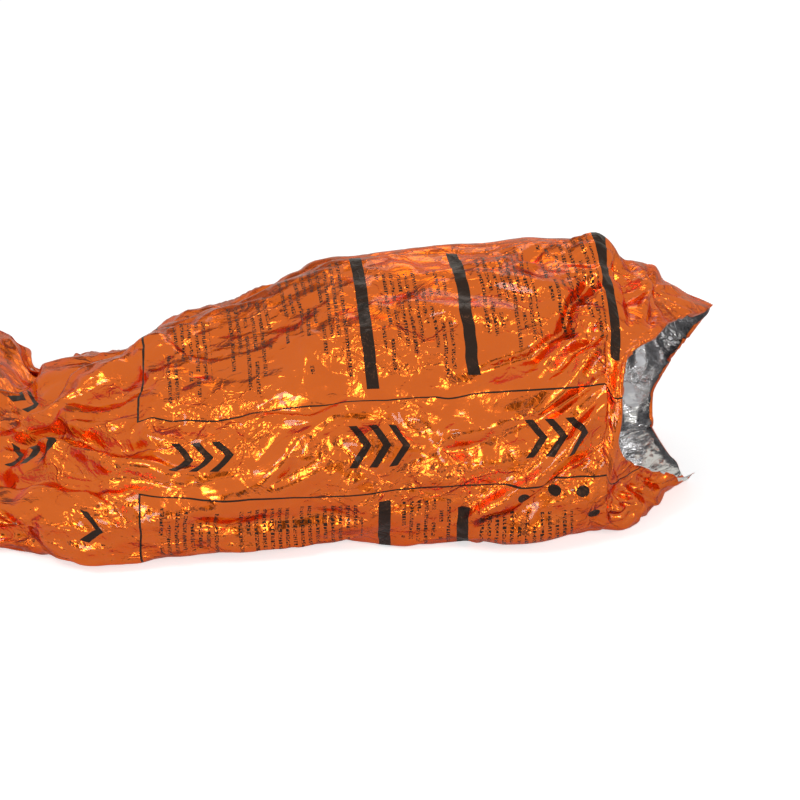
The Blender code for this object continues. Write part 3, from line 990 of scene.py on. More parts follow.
@dataclass
class CrumpledFilm:
    """The whole bag's film after draping, folding and crumpling, as one fine grid.

    `row_runs` are stretches of the sheet in metres, each with its number of rows, and
    `mouth_rows` is the number of rows past the last of them.  Round `eased_spot` (along and
    across the near sheet), for `eased_reach`, a gather that would fold back through itself is
    eased.  The foot end is open by `least_open` at its weld, and opens from `opens_from` over
    `opens_over`.  The sheets lie flat up to `lies_flat`, with a gap of `gap_films` films or,
    at the weld, `weld_gap` of that.  Film lower than `pressed_from` is pressed flat.
    """

    form: LaidForm
    sizes: BagSizes
    row_runs: tuple[tuple[float, float, int], ...] = (
        (0.010, 0.370, 30), (0.370, 0.520, 20), (0.520, 0.860, 36), (0.860, 1.200, 56),
        (1.200, 1.840, 98),
    )
    mouth_rows: int = 78
    eased_spot: tuple[float, float] = (1.915, 0.335)
    eased_reach: float = 0.032
    eased_passes: int = 8
    least_open: float = 0.1
    opens_from: float = 0.012
    opens_over: float = 0.07
    lies_flat: float = 0.52
    gap_films: int = 4
    weld_gap: float = 0.65
    gap_range: tuple[float, float] = (0.012, 0.080)
    pressed_from: float = 0.006
    press_depth: float = 0.004

    def __post_init__(self) -> None:
        """Shape the film."""
        runs = [np.linspace(*run, endpoint=False) for run in self.row_runs]
        last = np.linspace(self.row_runs[-1][1], self.sizes.sheet_length, self.mouth_rows)
        self.grid = TubeGrid(np.concatenate([*runs, last]), 148, 112, 4)
        relief = Relief(self.sizes)
        points = self.form.tube(self.grid)
        self.flat = FlatMap(points, self.grid, self.sizes, self.form.shoulder)
        points = points + Drape(self.form, relief).over(self.grid)
        normal = unit(softened(outward(points), 6))
        large = relief.dips(self.flat) + relief.large(self.grid, self.flat, normal)
        points = points + normal * large[..., None]
        normal = unit(softened(outward(points), 2))
        points = points + normal * relief.small(self.flat, normal)[..., None]
        self.points = self._eased(self._parted(self._rested(self._closed_foot(points))))

    def _eased(self, points: Array) -> Array:
        """Ease the near sheet by the mouth, where a gather would fold back through itself.

        Args:
            points: points of the film by row and column.

        Returns:
            The eased points.
        """
        along, across = self.eased_spot
        off = (self.flat.along - along) ** 2 + (self.flat.across - across) ** 2
        share, near = np.zeros_like(off), self.grid.near_columns
        share[:, near] = np.exp(-off[:, near] / self.eased_reach ** 2)
        return points + share[..., None] * (softened(points, self.eased_passes) - points)

    def _closed_foot(self, points: Array) -> Array:
        """Bring the two sheets together at the foot weld.

        Args:
            points: points of the film by row and column.

        Returns:
            The points with the foot end closed.
        """
        middle = points[..., 2].mean(axis=1, keepdims=True)
        opened = smoothstep(0.0, self.opens_over, self.flat.along - self.opens_from)
        open_share = opened * (1 - self.least_open) + self.least_open
        points = points.copy()
        points[..., 2] = middle + (points[..., 2] - middle) * open_share
        return points

    def _parted(self, points: Array) -> Array:
        """Keep the near sheet on top of the far one where both lie flat at the foot end.

        Args:
            points: points of the film by row and column.

        Returns:
            The points with the near sheet lifted clear.
        """
        grid = self.grid
        flat_rows = self.flat.along[:, 0] < self.lies_flat
        shares, far_shares = np.linspace(0, 1, grid.near + 1), np.linspace(0, 1, grid.far + 1)
        points = points.copy()
        for row in np.flatnonzero(flat_rows):
            under = softened_line(points[row, grid.far_columns[::-1], 2], 1)
            opened = smoothstep(*self.gap_range, self.flat.along[row, 0])
            open_share = self.weld_gap + (1 - self.weld_gap) * opened
            gap = self.gap_films * self.sizes.film_thickness * open_share
            least = np.interp(shares, far_shares, under) + gap * np.sin(math.pi * shares) ** 0.3
            near = points[row, grid.near_columns, 2]
            points[row, grid.near_columns, 2] = np.maximum(near, least)
        return points

    def _rested(self, points: Array) -> Array:
        """Keep every point above the floor, pressed flat where it would go below.

        Args:
            points: points of the film by row and column.

        Returns:
            The points, all over the floor.
        """
        least, soft = 2 * self.sizes.film_thickness, self.pressed_from
        points = points.copy()
        low = np.minimum(points[..., 2], soft)
        pressed = least + (soft - least) * np.exp((low - soft) / self.press_depth)
        points[..., 2] = np.where(points[..., 2] < soft, pressed, points[..., 2])
        return points


class FilmSolid:
    """A sheet of film with real thickness, cut from the grid."""

    def __init__(
        self, name: str, outer: Array, inner: Array, flat: Array, sealed: Array | bool = False
    ) -> None:
        """Build the mesh.

        Args:
            name: name of the piece.
            outer: grid of points on its outer face.
            inner: grid of points on its inner face.
            flat: metres along and across the flat sheet at each point.
            sealed: for each face, whether its inner side is melted to the other sheet.
        """
        rows, columns = outer.shape[:2]
        count = rows * columns
        index = np.arange(count).reshape(rows, columns)
        a, b, c, d = index[:-1, :-1], index[:-1, 1:], index[1:, 1:], index[1:, :-1]
        out = np.stack([a, d, c, b], axis=-1).reshape(-1, 4)
        into = np.stack([a, b, c, d], axis=-1).reshape(-1, 4) + count
        edge = np.concatenate([index[0, :], index[1:, -1], index[-1, -2::-1], index[-2:0:-1, 0]])
        after = np.roll(edge, -1)
        rim = np.stack([edge, after, after + count, edge + count], axis=-1)
        faces = np.concatenate([out, into, rim])
        data = bpy.data.meshes.new(name)
        points = np.concatenate([outer.reshape(-1, 3), inner.reshape(-1, 3)])
        data.from_pydata(points.tolist(), [], faces.tolist())
        layer = data.uv_layers.new(name="flat")
        corners = np.concatenate([flat.reshape(-1, 2)] * 2)[faces.ravel()]
        layer.data.foreach_set("uv", corners.ravel().astype(np.float32))
        finish = np.zeros(len(faces), np.int32)
        finish[len(out): 2 * len(out)] = np.logical_not(sealed).ravel()
        data.polygons.foreach_set("material_index", finish)
        data.polygons.foreach_set("use_smooth", np.ones(len(faces), bool))
        data.update()
        self.object = placed(name, data)


Operator = Callable[["Wire", "Wire | float"], "Wire"]


def operator(operation: str, swapped: bool = False) -> Operator:
    """Return a method of a wire that adds one Math node.

    Args:
        operation: what the node works out.
        swapped: whether the wire is the second of its two values.

    Returns:
        A method for a class of wires.
    """

    def method(self: "Wire", other: "Wire | float") -> "Wire":
        """Return the result as a wire."""
        values = (other, self) if swapped else (self, other)
        return self.shading.maths(operation, *values)

    return method


class Wire:
    """One output of a node, with the arithmetic that shaders need.

    A comparison gives 1 or 0.  `|` gives the greater of two masks and `&` their product.
    """

    def __init__(self, shading: "Shading", socket: bpy.types.NodeSocket) -> None:
        """Store the socket and the tree that it belongs to."""
        self.shading, self.socket = shading, socket

    __add__ = __radd__ = operator("ADD")
    __mul__ = __rmul__ = __and__ = operator("MULTIPLY")
    __sub__, __rsub__ = operator("SUBTRACT"), operator("SUBTRACT", swapped=True)
    __truediv__, __or__ = operator("DIVIDE"), operator("MAXIMUM")
    __gt__, __lt__ = operator("GREATER_THAN"), operator("LESS_THAN")

    def maths(self, operation: str, *others: "Wire | float") -> "Wire":
        """Return the result of a Math node on this value and up to two others."""
        return self.shading.maths(operation, self, *others)

    def within(self, low: float, high: float) -> "Wire":
        """Return 1 between two values and 0 outside."""
        return (self > low) & (self < high)

    def floor(self) -> "Wire":
        """Round down."""
        return self.maths("FLOOR")

    def fraction(self) -> "Wire":
        """Return what is left after rounding down."""
        return self.maths("FRACT")


class Shading:
    """Builds the nodes of one material, world or modifier."""

    def __init__(self, owner: bpy.types.Material | bpy.types.World) -> None:
        """Empty the owner's node tree and start a new one."""
        owner.use_nodes = True
        self.tree = owner.node_tree
        self.tree.nodes.clear()

    @classmethod
    def on(cls, tree: bpy.types.NodeTree) -> "Shading":
        """Return a builder for a new tree of Geometry Nodes."""
        made = cls.__new__(cls)
        made.tree = tree
        return made

    def node(
        self,
        kind: str,
        settings: dict[str, object] | None = None,
        values: dict[str | int, object] | None = None,
    ) -> bpy.types.Node:
        """Add a node.

        Args:
            kind: the node's type.
            settings: its properties, set before its sockets.
            values: a value, socket or wire for each input that isn't left alone.

        Returns:
            The new node.
        """
        made = self.tree.nodes.new(kind)
        for key, value in (settings or {}).items():
            setattr(made, key, value)
        for key, value in (values or {}).items():
            socket = made.inputs[key]
            if isinstance(value, Wire):
                value = value.socket
            if isinstance(value, bpy.types.NodeSocket):
                self.tree.links.new(value, socket)
            else:
                socket.default_value = value
        return made

    def wire(self, node: bpy.types.Node, output: str | int = 0) -> Wire:
        """Return one output of a node as a wire."""
        return Wire(self, node.outputs[output])

    def made(
        self,
        kind: str,
        settings: dict[str, object] | None = None,
        values: dict[str | int, object] | None = None,
    ) -> Wire:
        """Add a node as `node` does, and return its first output."""
        return self.wire(self.node(kind, settings, values))

    def maths(self, operation: str, *values: Wire | float) -> Wire:
        """Return the result of a Math node."""
        return self.made("ShaderNodeMath", {"operation": operation}, dict(enumerate(values)))

    def vector(self, operation: str, *values: object, scale: Wire | float | None = None) -> Wire:
        """Return the vector result of a Vector Math node."""
        given = dict(enumerate(values))
        if scale is not None:
            given["Scale"] = scale
        return self.made("ShaderNodeVectorMath", {"operation": operation}, given)

    def mixed(self, factor: Wire | float, first: object, second: object) -> Wire:
        """Return a blend of two colours."""
        made = self.node(
            "ShaderNodeMix", {"data_type": "RGBA"}, {"Factor": factor, 6: first, 7: second}
        )
        return self.wire(made, 2)

    def random(self, first: Wire | float, second: Wire | float) -> Wire:
        """Return a random number from 0 to 1 for each pair of whole numbers."""
        pair = self.made("ShaderNodeCombineXYZ", None, {0: first, 1: second, 2: 0.0})
        made = self.node("ShaderNodeTexWhiteNoise", {"noise_dimensions": "2D"}, {"Vector": pair})
        return self.wire(made, "Value")

    def noise(self, place: Wire, scale: float, detail: float, output: str = "Fac") -> Wire:
        """Return the value or the colour of a noise texture on a place in metres.

        Args:
            place: where each point lies.
            scale: waves per metre.
            detail: octaves of finer noise.
            output: Fac or Color.

        Returns:
            The texture's output.
        """
        made = self.node(
            "ShaderNodeTexNoise", {"noise_dimensions": "3D"},
            {"Vector": place, "Scale": scale, "Detail": detail, "Roughness": 0.55},
        )
        return self.wire(made, output)

    def cells(self, place: Wire, scale: float, **settings: str) -> Wire:
        """Return the distance in a flat Voronoi texture, given its settings by name.

        Args:
            place: where each point lies.
            scale: cells per metre.
            settings: the node's other settings.

        Returns:
            The distance, in cells.
        """
        made = self.node(
            "ShaderNodeTexVoronoi", {"voronoi_dimensions": "2D", **settings},
            {"Vector": place, "Scale": scale, "Randomness": 1.0},
        )
        return self.wire(made, "Distance")

    def surface(self, shader: Wire, owner: str = "Material") -> None:
        """Make a shader the surface of the material or world."""
        self.node(f"ShaderNodeOutput{owner}", None, {"Surface": shader})


Colour = tuple[float, float, float, float]


@dataclass(frozen=True)
class Print:
    """The black print on the near sheet: plain frames, bars, discs, chevrons and greeked lines.

    Places are in metres along the flat sheet from the foot and across it from the ground weld.
    A frame is its end towards the foot and its lowest and highest line.  A bar is its place
    along the sheet and its two ends, and each bar above `lean_level` leans by `lean` towards
    the foot, from `lean_shift` on.  A disc is its middle.  A block of greeked lines is two of
    its corners.  A row of chevrons is its level, start and end.
    """

    ink: Colour = (0.016, 0.013, 0.012, 1)
    line: float = 0.0035
    upper_frame: tuple[float, float, float] = (1.113, 0.472, 0.902)
    lower_frame: tuple[float, float, float] = (1.128, 0.075, 0.285)
    bars: tuple[tuple[float, float, float], ...] = (
        (1.500, 0.497, 0.905), (1.676, 0.512, 0.905), (1.936, 0.545, 0.905),
        (1.537, 0.085, 0.262), (1.672, 0.085, 0.232),
    )
    bar_width: float = 0.021
    lean_level: float = 0.45
    lean_shift: float = 0.02
    lean: float = 0.09
    discs: tuple[tuple[float, float], ...] = (
        (1.775, 0.262), (1.831, 0.262), (1.877, 0.258), (1.898, 0.202),
    )
    disc_radius: float = 0.0105
    blocks: tuple[tuple[float, float, float, float], ...] = (
        (1.150, 0.500, 1.230, 0.800), (1.262, 0.500, 1.335, 0.840), (1.358, 0.520, 1.470, 0.880),
        (1.525, 0.500, 1.655, 0.800), (1.705, 0.540, 1.800, 0.880), (1.822, 0.560, 1.918, 0.890),
        (1.160, 0.090, 1.260, 0.262), (1.290, 0.090, 1.500, 0.262), (1.565, 0.090, 1.650, 0.255),
        (1.700, 0.090, 1.860, 0.222),
    )
    line_pitch: float = 0.0128
    letter_pitch: float = 0.0066
    stroke: float = 0.0021
    chevron_rows: tuple[tuple[float, float, float], ...] = (
        (0.378, 0.30, 2.06), (0.185, 0.16, 1.085), (0.620, 0.22, 1.070),
    )
    chevron_group: float = 0.30
    chevron_pitch: float = 0.034
    chevrons_in_group: int = 3
    chevron_reach: float = 0.036

    def _frame(self, along: Wire, across: Wire, frame: tuple[float, float, float]) -> Wire:
        """Return the mask of a three-sided frame that is open towards the mouth.

        Args:
            along: metres along the sheet.
            across: metres across it.
            frame: its end, and its lowest and highest line.

        Returns:
            1 on its lines.
        """
        left, low, high = frame
        inside = along > left
        level = low if frame is not self.lower_frame else high
        flat_line = inside & across.within(level - self.line / 2, level + self.line / 2)
        upright = along.within(left, left + self.line) & across.within(low, high)
        return flat_line | upright

    def _block(self, along: Wire, across: Wire, spot: tuple[float, float, float, float]) -> Wire:
        """Return the mask of lines of random specks that stand in for small print.

        Args:
            along: metres along the sheet.
            across: metres across it.
            spot: two corners of the block.

        Returns:
            1 on its specks.
        """
        start, low, end, high = spot
        lines = (along - start) / self.line_pitch
        row, within = lines.floor(), lines.fraction()
        letters = (across - low) / self.letter_pitch
        shading = along.shading
        specks = shading.random(
            (across / self.stroke).floor(), (along / (self.line_pitch / 6)).floor()
        )
        gap = shading.random((letters / 5.3).floor() + 7, row + 90 * start) > 0.16
        width = shading.random(row + 13, 60 * start) * 0.45 + 0.55
        ragged = across > (high - (high - low) * width)
        tall = letters.fraction().within(0.10, 0.90) & within.within(0.17, 0.67)
        area = along.within(start, end) & across.within(low, high)
        return area & (specks > 0.36) & gap & ragged & tall

    def _chevrons(self, along: Wire, across: Wire) -> Wire:
        """Return the mask of spaced groups of plain chevrons between the frames.

        Args:
            along: metres along the sheet.
            across: metres across it.

        Returns:
            1 on the chevrons.
        """
        mask: Wire | None = None
        for level, start, end in self.chevron_rows:
            centre = across - level
            bent = along + 0.7 * centre.maths("ABSOLUTE") - start
            group = bent.maths("MODULO", self.chevron_group)
            stripe = (group / self.chevron_pitch).fraction() < 0.42
            stripe = stripe & (group < self.chevrons_in_group * self.chevron_pitch)
            row = stripe & centre.within(-self.chevron_reach, self.chevron_reach)
            row = row & bent.within(0.0, end - start)
            mask = row if mask is None else mask | row
        return mask

    def mask(self, along: Wire, across: Wire) -> Wire:
        """Return 1 where there is ink.

        Args:
            along: metres along the sheet.
            across: metres across it.

        Returns:
            A wire of 1 on ink and 0 elsewhere.
        """
        found = self._frame(along, across, self.upper_frame)
        found = found | self._frame(along, across, self.lower_frame)
        half = self.bar_width / 2
        leaning = along + (across - self.lean_level).maths("MAXIMUM", 0.0) * self.lean
        leaning = leaning - self.lean_shift * (across > self.lean_level)
        for place, low, high in self.bars:
            found = found | (leaning.within(place - half, place + half) & across.within(low, high))
        for x, y in self.discs:
            dx, dy = leaning - x, across - y
            found = found | ((dx * dx + dy * dy).maths("SQRT") < self.disc_radius)
        for spot in self.blocks:
            found = found | self._block(leaning, across, spot)
        return found | self._chevrons(along, across)


class Place(Enum):
    """What a finish's pattern is measured from."""

    FLAT_SHEET = "flat sheet"
    OBJECT = "object"


@dataclass(frozen=True)
class Creases:
    """Creases too fine to model, in patches: small facets, and sharp ridges that branch.

    `facets` are pairs of a number of facets per metre and how steeply they lean.  `lines` are
    a number of meshes per metre, the width of a ridge's side as a share of one mesh, and how
    steep it is.  `calm` is what is left of them between the patches.  All of them are bent by
    up to `drift` metres, in `drift_scale` waves per metre.
    """

    facets: tuple[tuple[float, float], ...] = ((9.0, 0.20), (21.0, 0.11), (58.0, 0.035))
    lines: tuple[tuple[float, float, float], ...] = (
        (11.0, 0.045, 0.40), (27.0, 0.06, 0.26), (62.0, 0.10, 0.15)
    )
    calm: float = 0.22
    patch_scale: float = 5.5
    patch_range: tuple[float, float] = (0.40, 0.62)
    drift_scale: float = 13.0
    drift: float = 0.06

    def height(self, shading: Shading, place: Wire) -> Wire:
        """Return the height of the creases, in metres.

        Args:
            shading: the material's nodes.
            place: where each point lies, in metres.

        Returns:
            A wire for a Bump node.
        """
        drift = shading.noise(place, self.drift_scale, 4.0, "Color")
        bent = shading.vector("ADD", place, shading.vector("SCALE", drift, scale=self.drift))
        total: Wire | float = 0.0
        for index, (scale, slope) in enumerate(self.facets):
            spot = shading.vector("ADD", bent, (0.37 * index, 0.11 * index, 0.0))
            away = shading.cells(spot, scale, distance="CHEBYCHEV", feature="F1")
            total = total + away * (slope / scale)
        for index, (scale, width, slope) in enumerate(self.lines):
            spot = shading.vector("ADD", bent, (0.53 * index, 0.29 * index, 0.0))
            away = shading.cells(spot, scale, feature="DISTANCE_TO_EDGE").maths("MINIMUM", width)
            total = total - away * (slope / scale)
        first, last = self.patch_range
        return total * shading.made(
            "ShaderNodeMapRange", {"clamp": True},
            {"Value": shading.noise(place, self.patch_scale, 3.0), "From Min": first,
             "From Max": last, "To Min": self.calm, "To Max": 1.0},
        )


@dataclass(frozen=True)
class FilmFinish:
    """Thin metallised film: coloured lacquer over metal.

    Ink makes it rougher by `ink_roughness` and takes away `ink_cover` of the coat.  The scales
    are the waves per metre in which its colour and its roughness vary.
    """

    name: str
    colour: Colour
    deep_colour: Colour
    metallic: float
    roughness: float
    coat: float
    edge_colour: Colour = (1.0, 0.42, 0.20, 1)
    creases: Creases = Creases()
    print: Print | None = None
    place: Place = Place.FLAT_SHEET
    coat_roughness: float = 0.05
    roughness_range: float = 0.08
    colour_scale: float = 14.0
    roughness_scale: float = 55.0
    specular: float = 0.3
    ink_roughness: float = 0.16
    ink_cover: float = 0.85

    def material(self) -> bpy.types.Material:
        """Return the finished material.

        Returns:
            A material whose pattern is in metres.
        """
        made = bpy.data.materials.new(self.name)
        shading = Shading(made)
        if self.place is Place.FLAT_SHEET:
            place = shading.made("ShaderNodeUVMap", {"uv_map": "flat"})
        else:
            place = shading.wire(shading.node("ShaderNodeTexCoord"), "Object")
        shade = shading.noise(place, self.colour_scale, 4.0)
        colour = shading.mixed(shade, self.deep_colour, self.colour)
        blur = shading.noise(place, self.roughness_scale, 2.0) * self.roughness_range
        roughness = blur + (self.roughness - self.roughness_range / 2)
        metallic: Wire | float = self.metallic
        coat: Wire | float = self.coat
        if self.print:
            split = shading.node("ShaderNodeSeparateXYZ", None, {0: place})
            ink = self.print.mask(shading.wire(split, 0), shading.wire(split, 1))
            colour = shading.mixed(ink, colour, self.print.ink)
            metallic = (1 - ink) * self.metallic
            roughness = roughness + ink * self.ink_roughness
            coat = (1 - self.ink_cover * ink) * self.coat
        bump = shading.made(
            "ShaderNodeBump", None,
            {"Strength": 1.0, "Distance": 1.0, "Height": self.creases.height(shading, place)},
        )
        shading.surface(shading.made(
            "ShaderNodeBsdfPrincipled", None,
            {"Base Color": colour, "Metallic": metallic, "Roughness": roughness,
             "Specular IOR Level": self.specular, "Specular Tint": self.edge_colour,
             "Coat Weight": coat, "Coat Roughness": self.coat_roughness, "Normal": bump},
        ))
        return made


class Side(Enum):
    """Which of the two sheets."""

    NEAR = "near"
    FAR = "far"


@dataclass
class Sheet:
    """One sheet of film between the two side welds.

    The cut edge at the mouth curls over a radius `curl`.  Where it is drawn close it is turned
    right in, by `turned_in` past the curl.  At the lower lip it is turned outwards, by
    `turned_out`, so that its silver side shows.  The curl has `rows` rows.
    """

    side: Side
    film: CrumpledFilm
    sizes: BagSizes
    curl: float = 0.0032
    turned_in: float = 0.008
    turned_out: float = 0.009
    rows: int = 14

    def _turn(self, share: Array) -> Array:
        """Return how far the rim is turned, in half turns inwards, at shares of the width.

        Args:
            share: shares of the width from the ground weld.

        Returns:
            Half turns at each share, less than 0 where the rim turns outwards.
        """
        held = smoothstep(0.02, 0.12, share) * smoothstep(0.98, 0.88, share)
        if self.side is Side.FAR:
            return 0.75 * held
        held = held * smoothstep(0.11, 0.20, share)
        lip = 1 - smoothstep(0.30, 0.38, share)
        ruffled = 1 + 0.30 * np.sin(150 * share) + 0.18 * np.sin(67 * share + 1)
        return (0.78 - 1.30 * lip) * held * ruffled

    def _turned(self, points: Array, flat: Array) -> tuple[Array, Array]:
        """Carry the sheet on past its rim, round the curl.

        Args:
            points: grid of points of the sheet.
            flat: metres along and across the flat sheet at each point.

        Returns:
            Both grids with the rows of the curl added.
        """
        tip = points[-1]
        onward = unit(points[-1] - points[-3])
        inward = -unit(np.cross(onward, np.gradient(tip, axis=0)))
        turn = softened_line(self._turn(flat[-1, :, 1] / self.sizes.sheet_width), 3)
        bend = math.pi * self.curl * np.abs(turn)
        length = bend + np.where(turn > 0, self.turned_in, self.turned_out) * np.abs(turn) + 0.001
        step, still = (length / self.rows)[:, None], np.zeros_like(length)
        extra, extra_flat = [], []
        for row in range(self.rows):
            done = length * (row + 0.5) / self.rows
            angle = (math.pi * turn * np.minimum(1.0, done / (bend + 1e-6)))[:, None]
            tip = tip + step * (np.cos(angle) * onward + np.sin(angle) * inward)
            extra.append(tip)
            past_rim = np.stack([length * (row + 1) / self.rows, still], axis=-1)
            extra_flat.append(flat[-1] + past_rim)
        return np.concatenate([points, extra]), np.concatenate([flat, extra_flat])

    def _sealed(self, flat: Array) -> Array:
        """Return which faces lie so close to the welds of the foot end that no silver shows."""
        along, across = flat[:-1, :-1, 0], flat[:-1, :-1, 1]
        from_weld = np.minimum(across, self.sizes.sheet_width - across)
        by_side = (from_weld < self.sizes.sealed_margin) & (along < self.sizes.sealed_length)
        return (along < self.sizes.sealed_margin) | by_side

    def build(self, outside: bpy.types.Material, inside: bpy.types.Material) -> bpy.types.Object:
        """Cut the sheet out of the film and give it its thickness.

        Args:
            outside: finish of the coloured side.
            inside: finish of the silver side.

        Returns:
            The finished piece.
        """
        grid, thickness = self.film.grid, self.sizes.film_thickness
        columns = grid.near_columns if self.side is Side.NEAR else grid.far_columns
        points = self.film.points[:, columns]
        flat = self.film.flat.pairs[:, columns]
        points, flat = self._turned(points, flat)
        points = raised(points, 2 * thickness)
        inner = raised(points - faced(points) * thickness, thickness)
        name = f"{self.side.value}_film"
        made = FilmSolid(name, points, inner, flat, self._sealed(flat)).object
        for finish in (outside, inside):
            made.data.materials.append(finish)
        return made


@dataclass(frozen=True)
class CrimpRibs:
    """The ribs that the sealing jaw presses across a weld, repeated along its path."""

    spacing: float = 0.0045
    width: float = 0.0016
    length: float = 0.0078
    height: float = 0.0009

    def _tree(self, finish: bpy.types.Material) -> bpy.types.NodeTree:
        """Return the node tree that sets ribs along a path of joined points.

        Args:
            finish: the ribs' material.

        Returns:
            A tree with named inputs for the path and the sizes.
        """
        tree = bpy.data.node_groups.new("crimp_ribs", "GeometryNodeTree")
        tree.interface.new_socket("Path", in_out="INPUT", socket_type="NodeSocketGeometry")
        for name in ("Spacing", "Width", "Length", "Height"):
            tree.interface.new_socket(name, in_out="INPUT", socket_type="NodeSocketFloat")
        tree.interface.new_socket("Ribs", in_out="OUTPUT", socket_type="NodeSocketGeometry")
        shading = Shading.on(tree)
        given = shading.node("NodeGroupInput").outputs
        path = shading.made("GeometryNodeMeshToCurve", None, {"Mesh": given["Path"]})
        even = shading.made("GeometryNodeResampleCurve", {"mode": "LENGTH"},
                            {"Curve": path, "Length": given["Spacing"]})
        out = shading.made("GeometryNodeInputNamedAttribute", {"data_type": "FLOAT_VECTOR"},
                           {"Name": "outward"})
        turn = shading.made(
            "FunctionNodeAxesToRotation", {"primary_axis": "Z", "secondary_axis": "X"},
            {"Primary Axis": out, "Secondary Axis": shading.made("GeometryNodeInputTangent")},
        )
        size = shading.made("ShaderNodeCombineXYZ", None,
                            {0: given["Width"], 1: given["Length"], 2: given["Height"]})
        rib = shading.made("GeometryNodeMeshCube", None, {"Size": size})
        ribs = shading.made("GeometryNodeInstanceOnPoints", None,
                            {"Points": even, "Instance": rib, "Rotation": turn})
        real = shading.made("GeometryNodeRealizeInstances", None, {"Geometry": ribs})
        dressed = shading.made("GeometryNodeSetMaterial", None,
                               {"Geometry": real, "Material": finish})
        shading.node("NodeGroupOutput", None, {"Ribs": dressed})
        return tree

    def along(self, spots: Array, outward_at: Array, finish: bpy.types.Material) -> bpy.types.Mesh:
        """Return the ribs of one weld as a plain mesh.

        Args:
            spots: points along the middle of the weld.
            outward_at: the outward direction at each.
            finish: the ribs' material.

        Returns:
            A mesh of small boxes across the weld.
        """
        data = bpy.data.meshes.new("weld_path")
        links = [(i, i + 1) for i in range(len(spots) - 1)]
        data.from_pydata(spots.tolist(), links, [])
        stored = data.attributes.new("outward", "FLOAT_VECTOR", "POINT")
        stored.data.foreach_set("vector", outward_at.astype(np.float32).ravel())
        path = placed("weld_path", data)
        tree = self._tree(finish)
        modifier = path.modifiers.new("ribs", "NODES")
        modifier.node_group = tree
        sizes = {"Spacing": self.spacing, "Width": self.width, "Length": self.length,
                 "Height": self.height}
        for socket in tree.interface.items_tree:
            if socket.name in sizes:
                modifier[socket.identifier] = sizes[socket.name]
        shown = path.evaluated_get(bpy.context.evaluated_depsgraph_get())
        made = bpy.data.meshes.new_from_object(shown)
        bpy.data.objects.remove(path, do_unlink=True)
        return made


# The lowest that a weld's upper side, its lower side and its ribs may lie over the floor
STRIP_TOP, STRIP_UNDER, RIBS_UNDER = 0.0012, 0.0004, 0.0003


def strip_with_ribs(
    name: str, outer: Array, thickness: float, flat: Array, finish: bpy.types.Material
) -> bpy.types.Object:
    """Return a welded strip with the ribs of the sealing jaw along its middle.

    Args:
        name: name of the piece.
        outer: grid of points on its outer face, with three or more columns.
        thickness: thickness of the two fused films.
        flat: metres along and across the flat sheet at each point.
        finish: its material.

    Returns:
        The finished piece.
    """
    outer = raised(outer, STRIP_TOP)
    normal = faced(outer)
    inner = raised(outer - normal * thickness, STRIP_UNDER)
    made = FilmSolid(name, outer, inner, flat).object
    middle = outer.shape[1] // 2
    ribs = CrimpRibs().along(outer[:, middle], normal[:, middle], finish)
    places = np.empty(len(ribs.vertices) * 3, np.float32)
    ribs.vertices.foreach_get("co", places)
    places = raised(places.reshape(-1, 3), RIBS_UNDER)
    strip = made.data
    points = np.concatenate([np.array([v.co[:] for v in strip.vertices]), places])
    faces = [tuple(f.vertices) for f in strip.polygons]
    first = len(strip.vertices)
    faces += [tuple(first + i for i in f.vertices) for f in ribs.polygons]
    whole = bpy.data.meshes.new(name)
    whole.from_pydata(points.tolist(), [], faces)
    smooth = np.zeros(len(faces), bool)
    smooth[: len(strip.polygons)] = True
    whole.polygons.foreach_set("use_smooth", smooth)
    whole.materials.append(finish)
    whole.update()
    made.data = whole
    for used in (strip, ribs):
        bpy.data.meshes.remove(used)
    return made


@dataclass
class SideWeld:
    """The strip where the edges of both sheets are welded."""

    name: str
    columns: Array
    film: CrumpledFilm
    thickness: float = 0.0014

    def build(self, finish: bpy.types.Material) -> bpy.types.Object:
        """Return the finished strip.

        Args:
            finish: its material.

        Returns:
            The finished piece.
        """
        return strip_with_ribs(self.name, self.film.points[:, self.columns], self.thickness,
                               self.film.flat.pairs[:, self.columns], finish)


@dataclass
class FootWeld:
    """The flat strip that closes the foot end, and holds the ends of both sheets."""

    film: CrumpledFilm
    sizes: BagSizes
    thickness: float = 0.0018
    steps: int = 160
    lap: float = 0.004

    def build(self, finish: bpy.types.Material) -> bpy.types.Object:
        """Return the finished strip.

        Args:
            finish: its material.

        Returns:
            The finished piece.
        """
        grid = self.film.grid
        end = self.film.points[0]
        near, far = end[grid.near_columns], end[grid.far_columns][::-1]
        share = np.linspace(0, 1, self.steps)
        spots = 0.5 * sum(
            resampled(line, np.linspace(0, 1, len(line)), share) for line in (near, far)
        )
        line = unit(spots[-1] - spots[0])
        back = unit(np.cross(line, [0.0, 0.0, 1.0]))
        back = -back if back[0] > 0 else back
        spots[:, 2] += self.thickness / 2
        across = np.linspace(self.sizes.weld_width, -self.lap, 5)
        strip = np.stack([spots + back * t for t in across], axis=1)
        flat = np.stack(np.broadcast_arrays(share[:, None] * self.sizes.sheet_width,
                                            0.010 - across[None]), axis=-1)
        if np.cross(strip[1, 0] - strip[0, 0], strip[0, 1] - strip[0, 0])[2] < 0:
            strip, flat = strip[:, ::-1], flat[:, ::-1]
        return strip_with_ribs("foot_weld_strip", strip, self.thickness, flat, finish)


@dataclass(frozen=True)
class Lamp:
    """A square soft lamp of side `size` that points at the bag."""

    name: str
    place: tuple[float, float, float]
    size: float
    radiance: float


@dataclass(frozen=True)
class Card:
    """A card that stands in the room, unseen but mirrored by the film.

    `low` is its first corner, `high` the opposite one and `tone` how much light it gives back.
    """

    name: str
    low: tuple[float, float, float]
    high: tuple[float, float, float]
    tone: float = 0.05


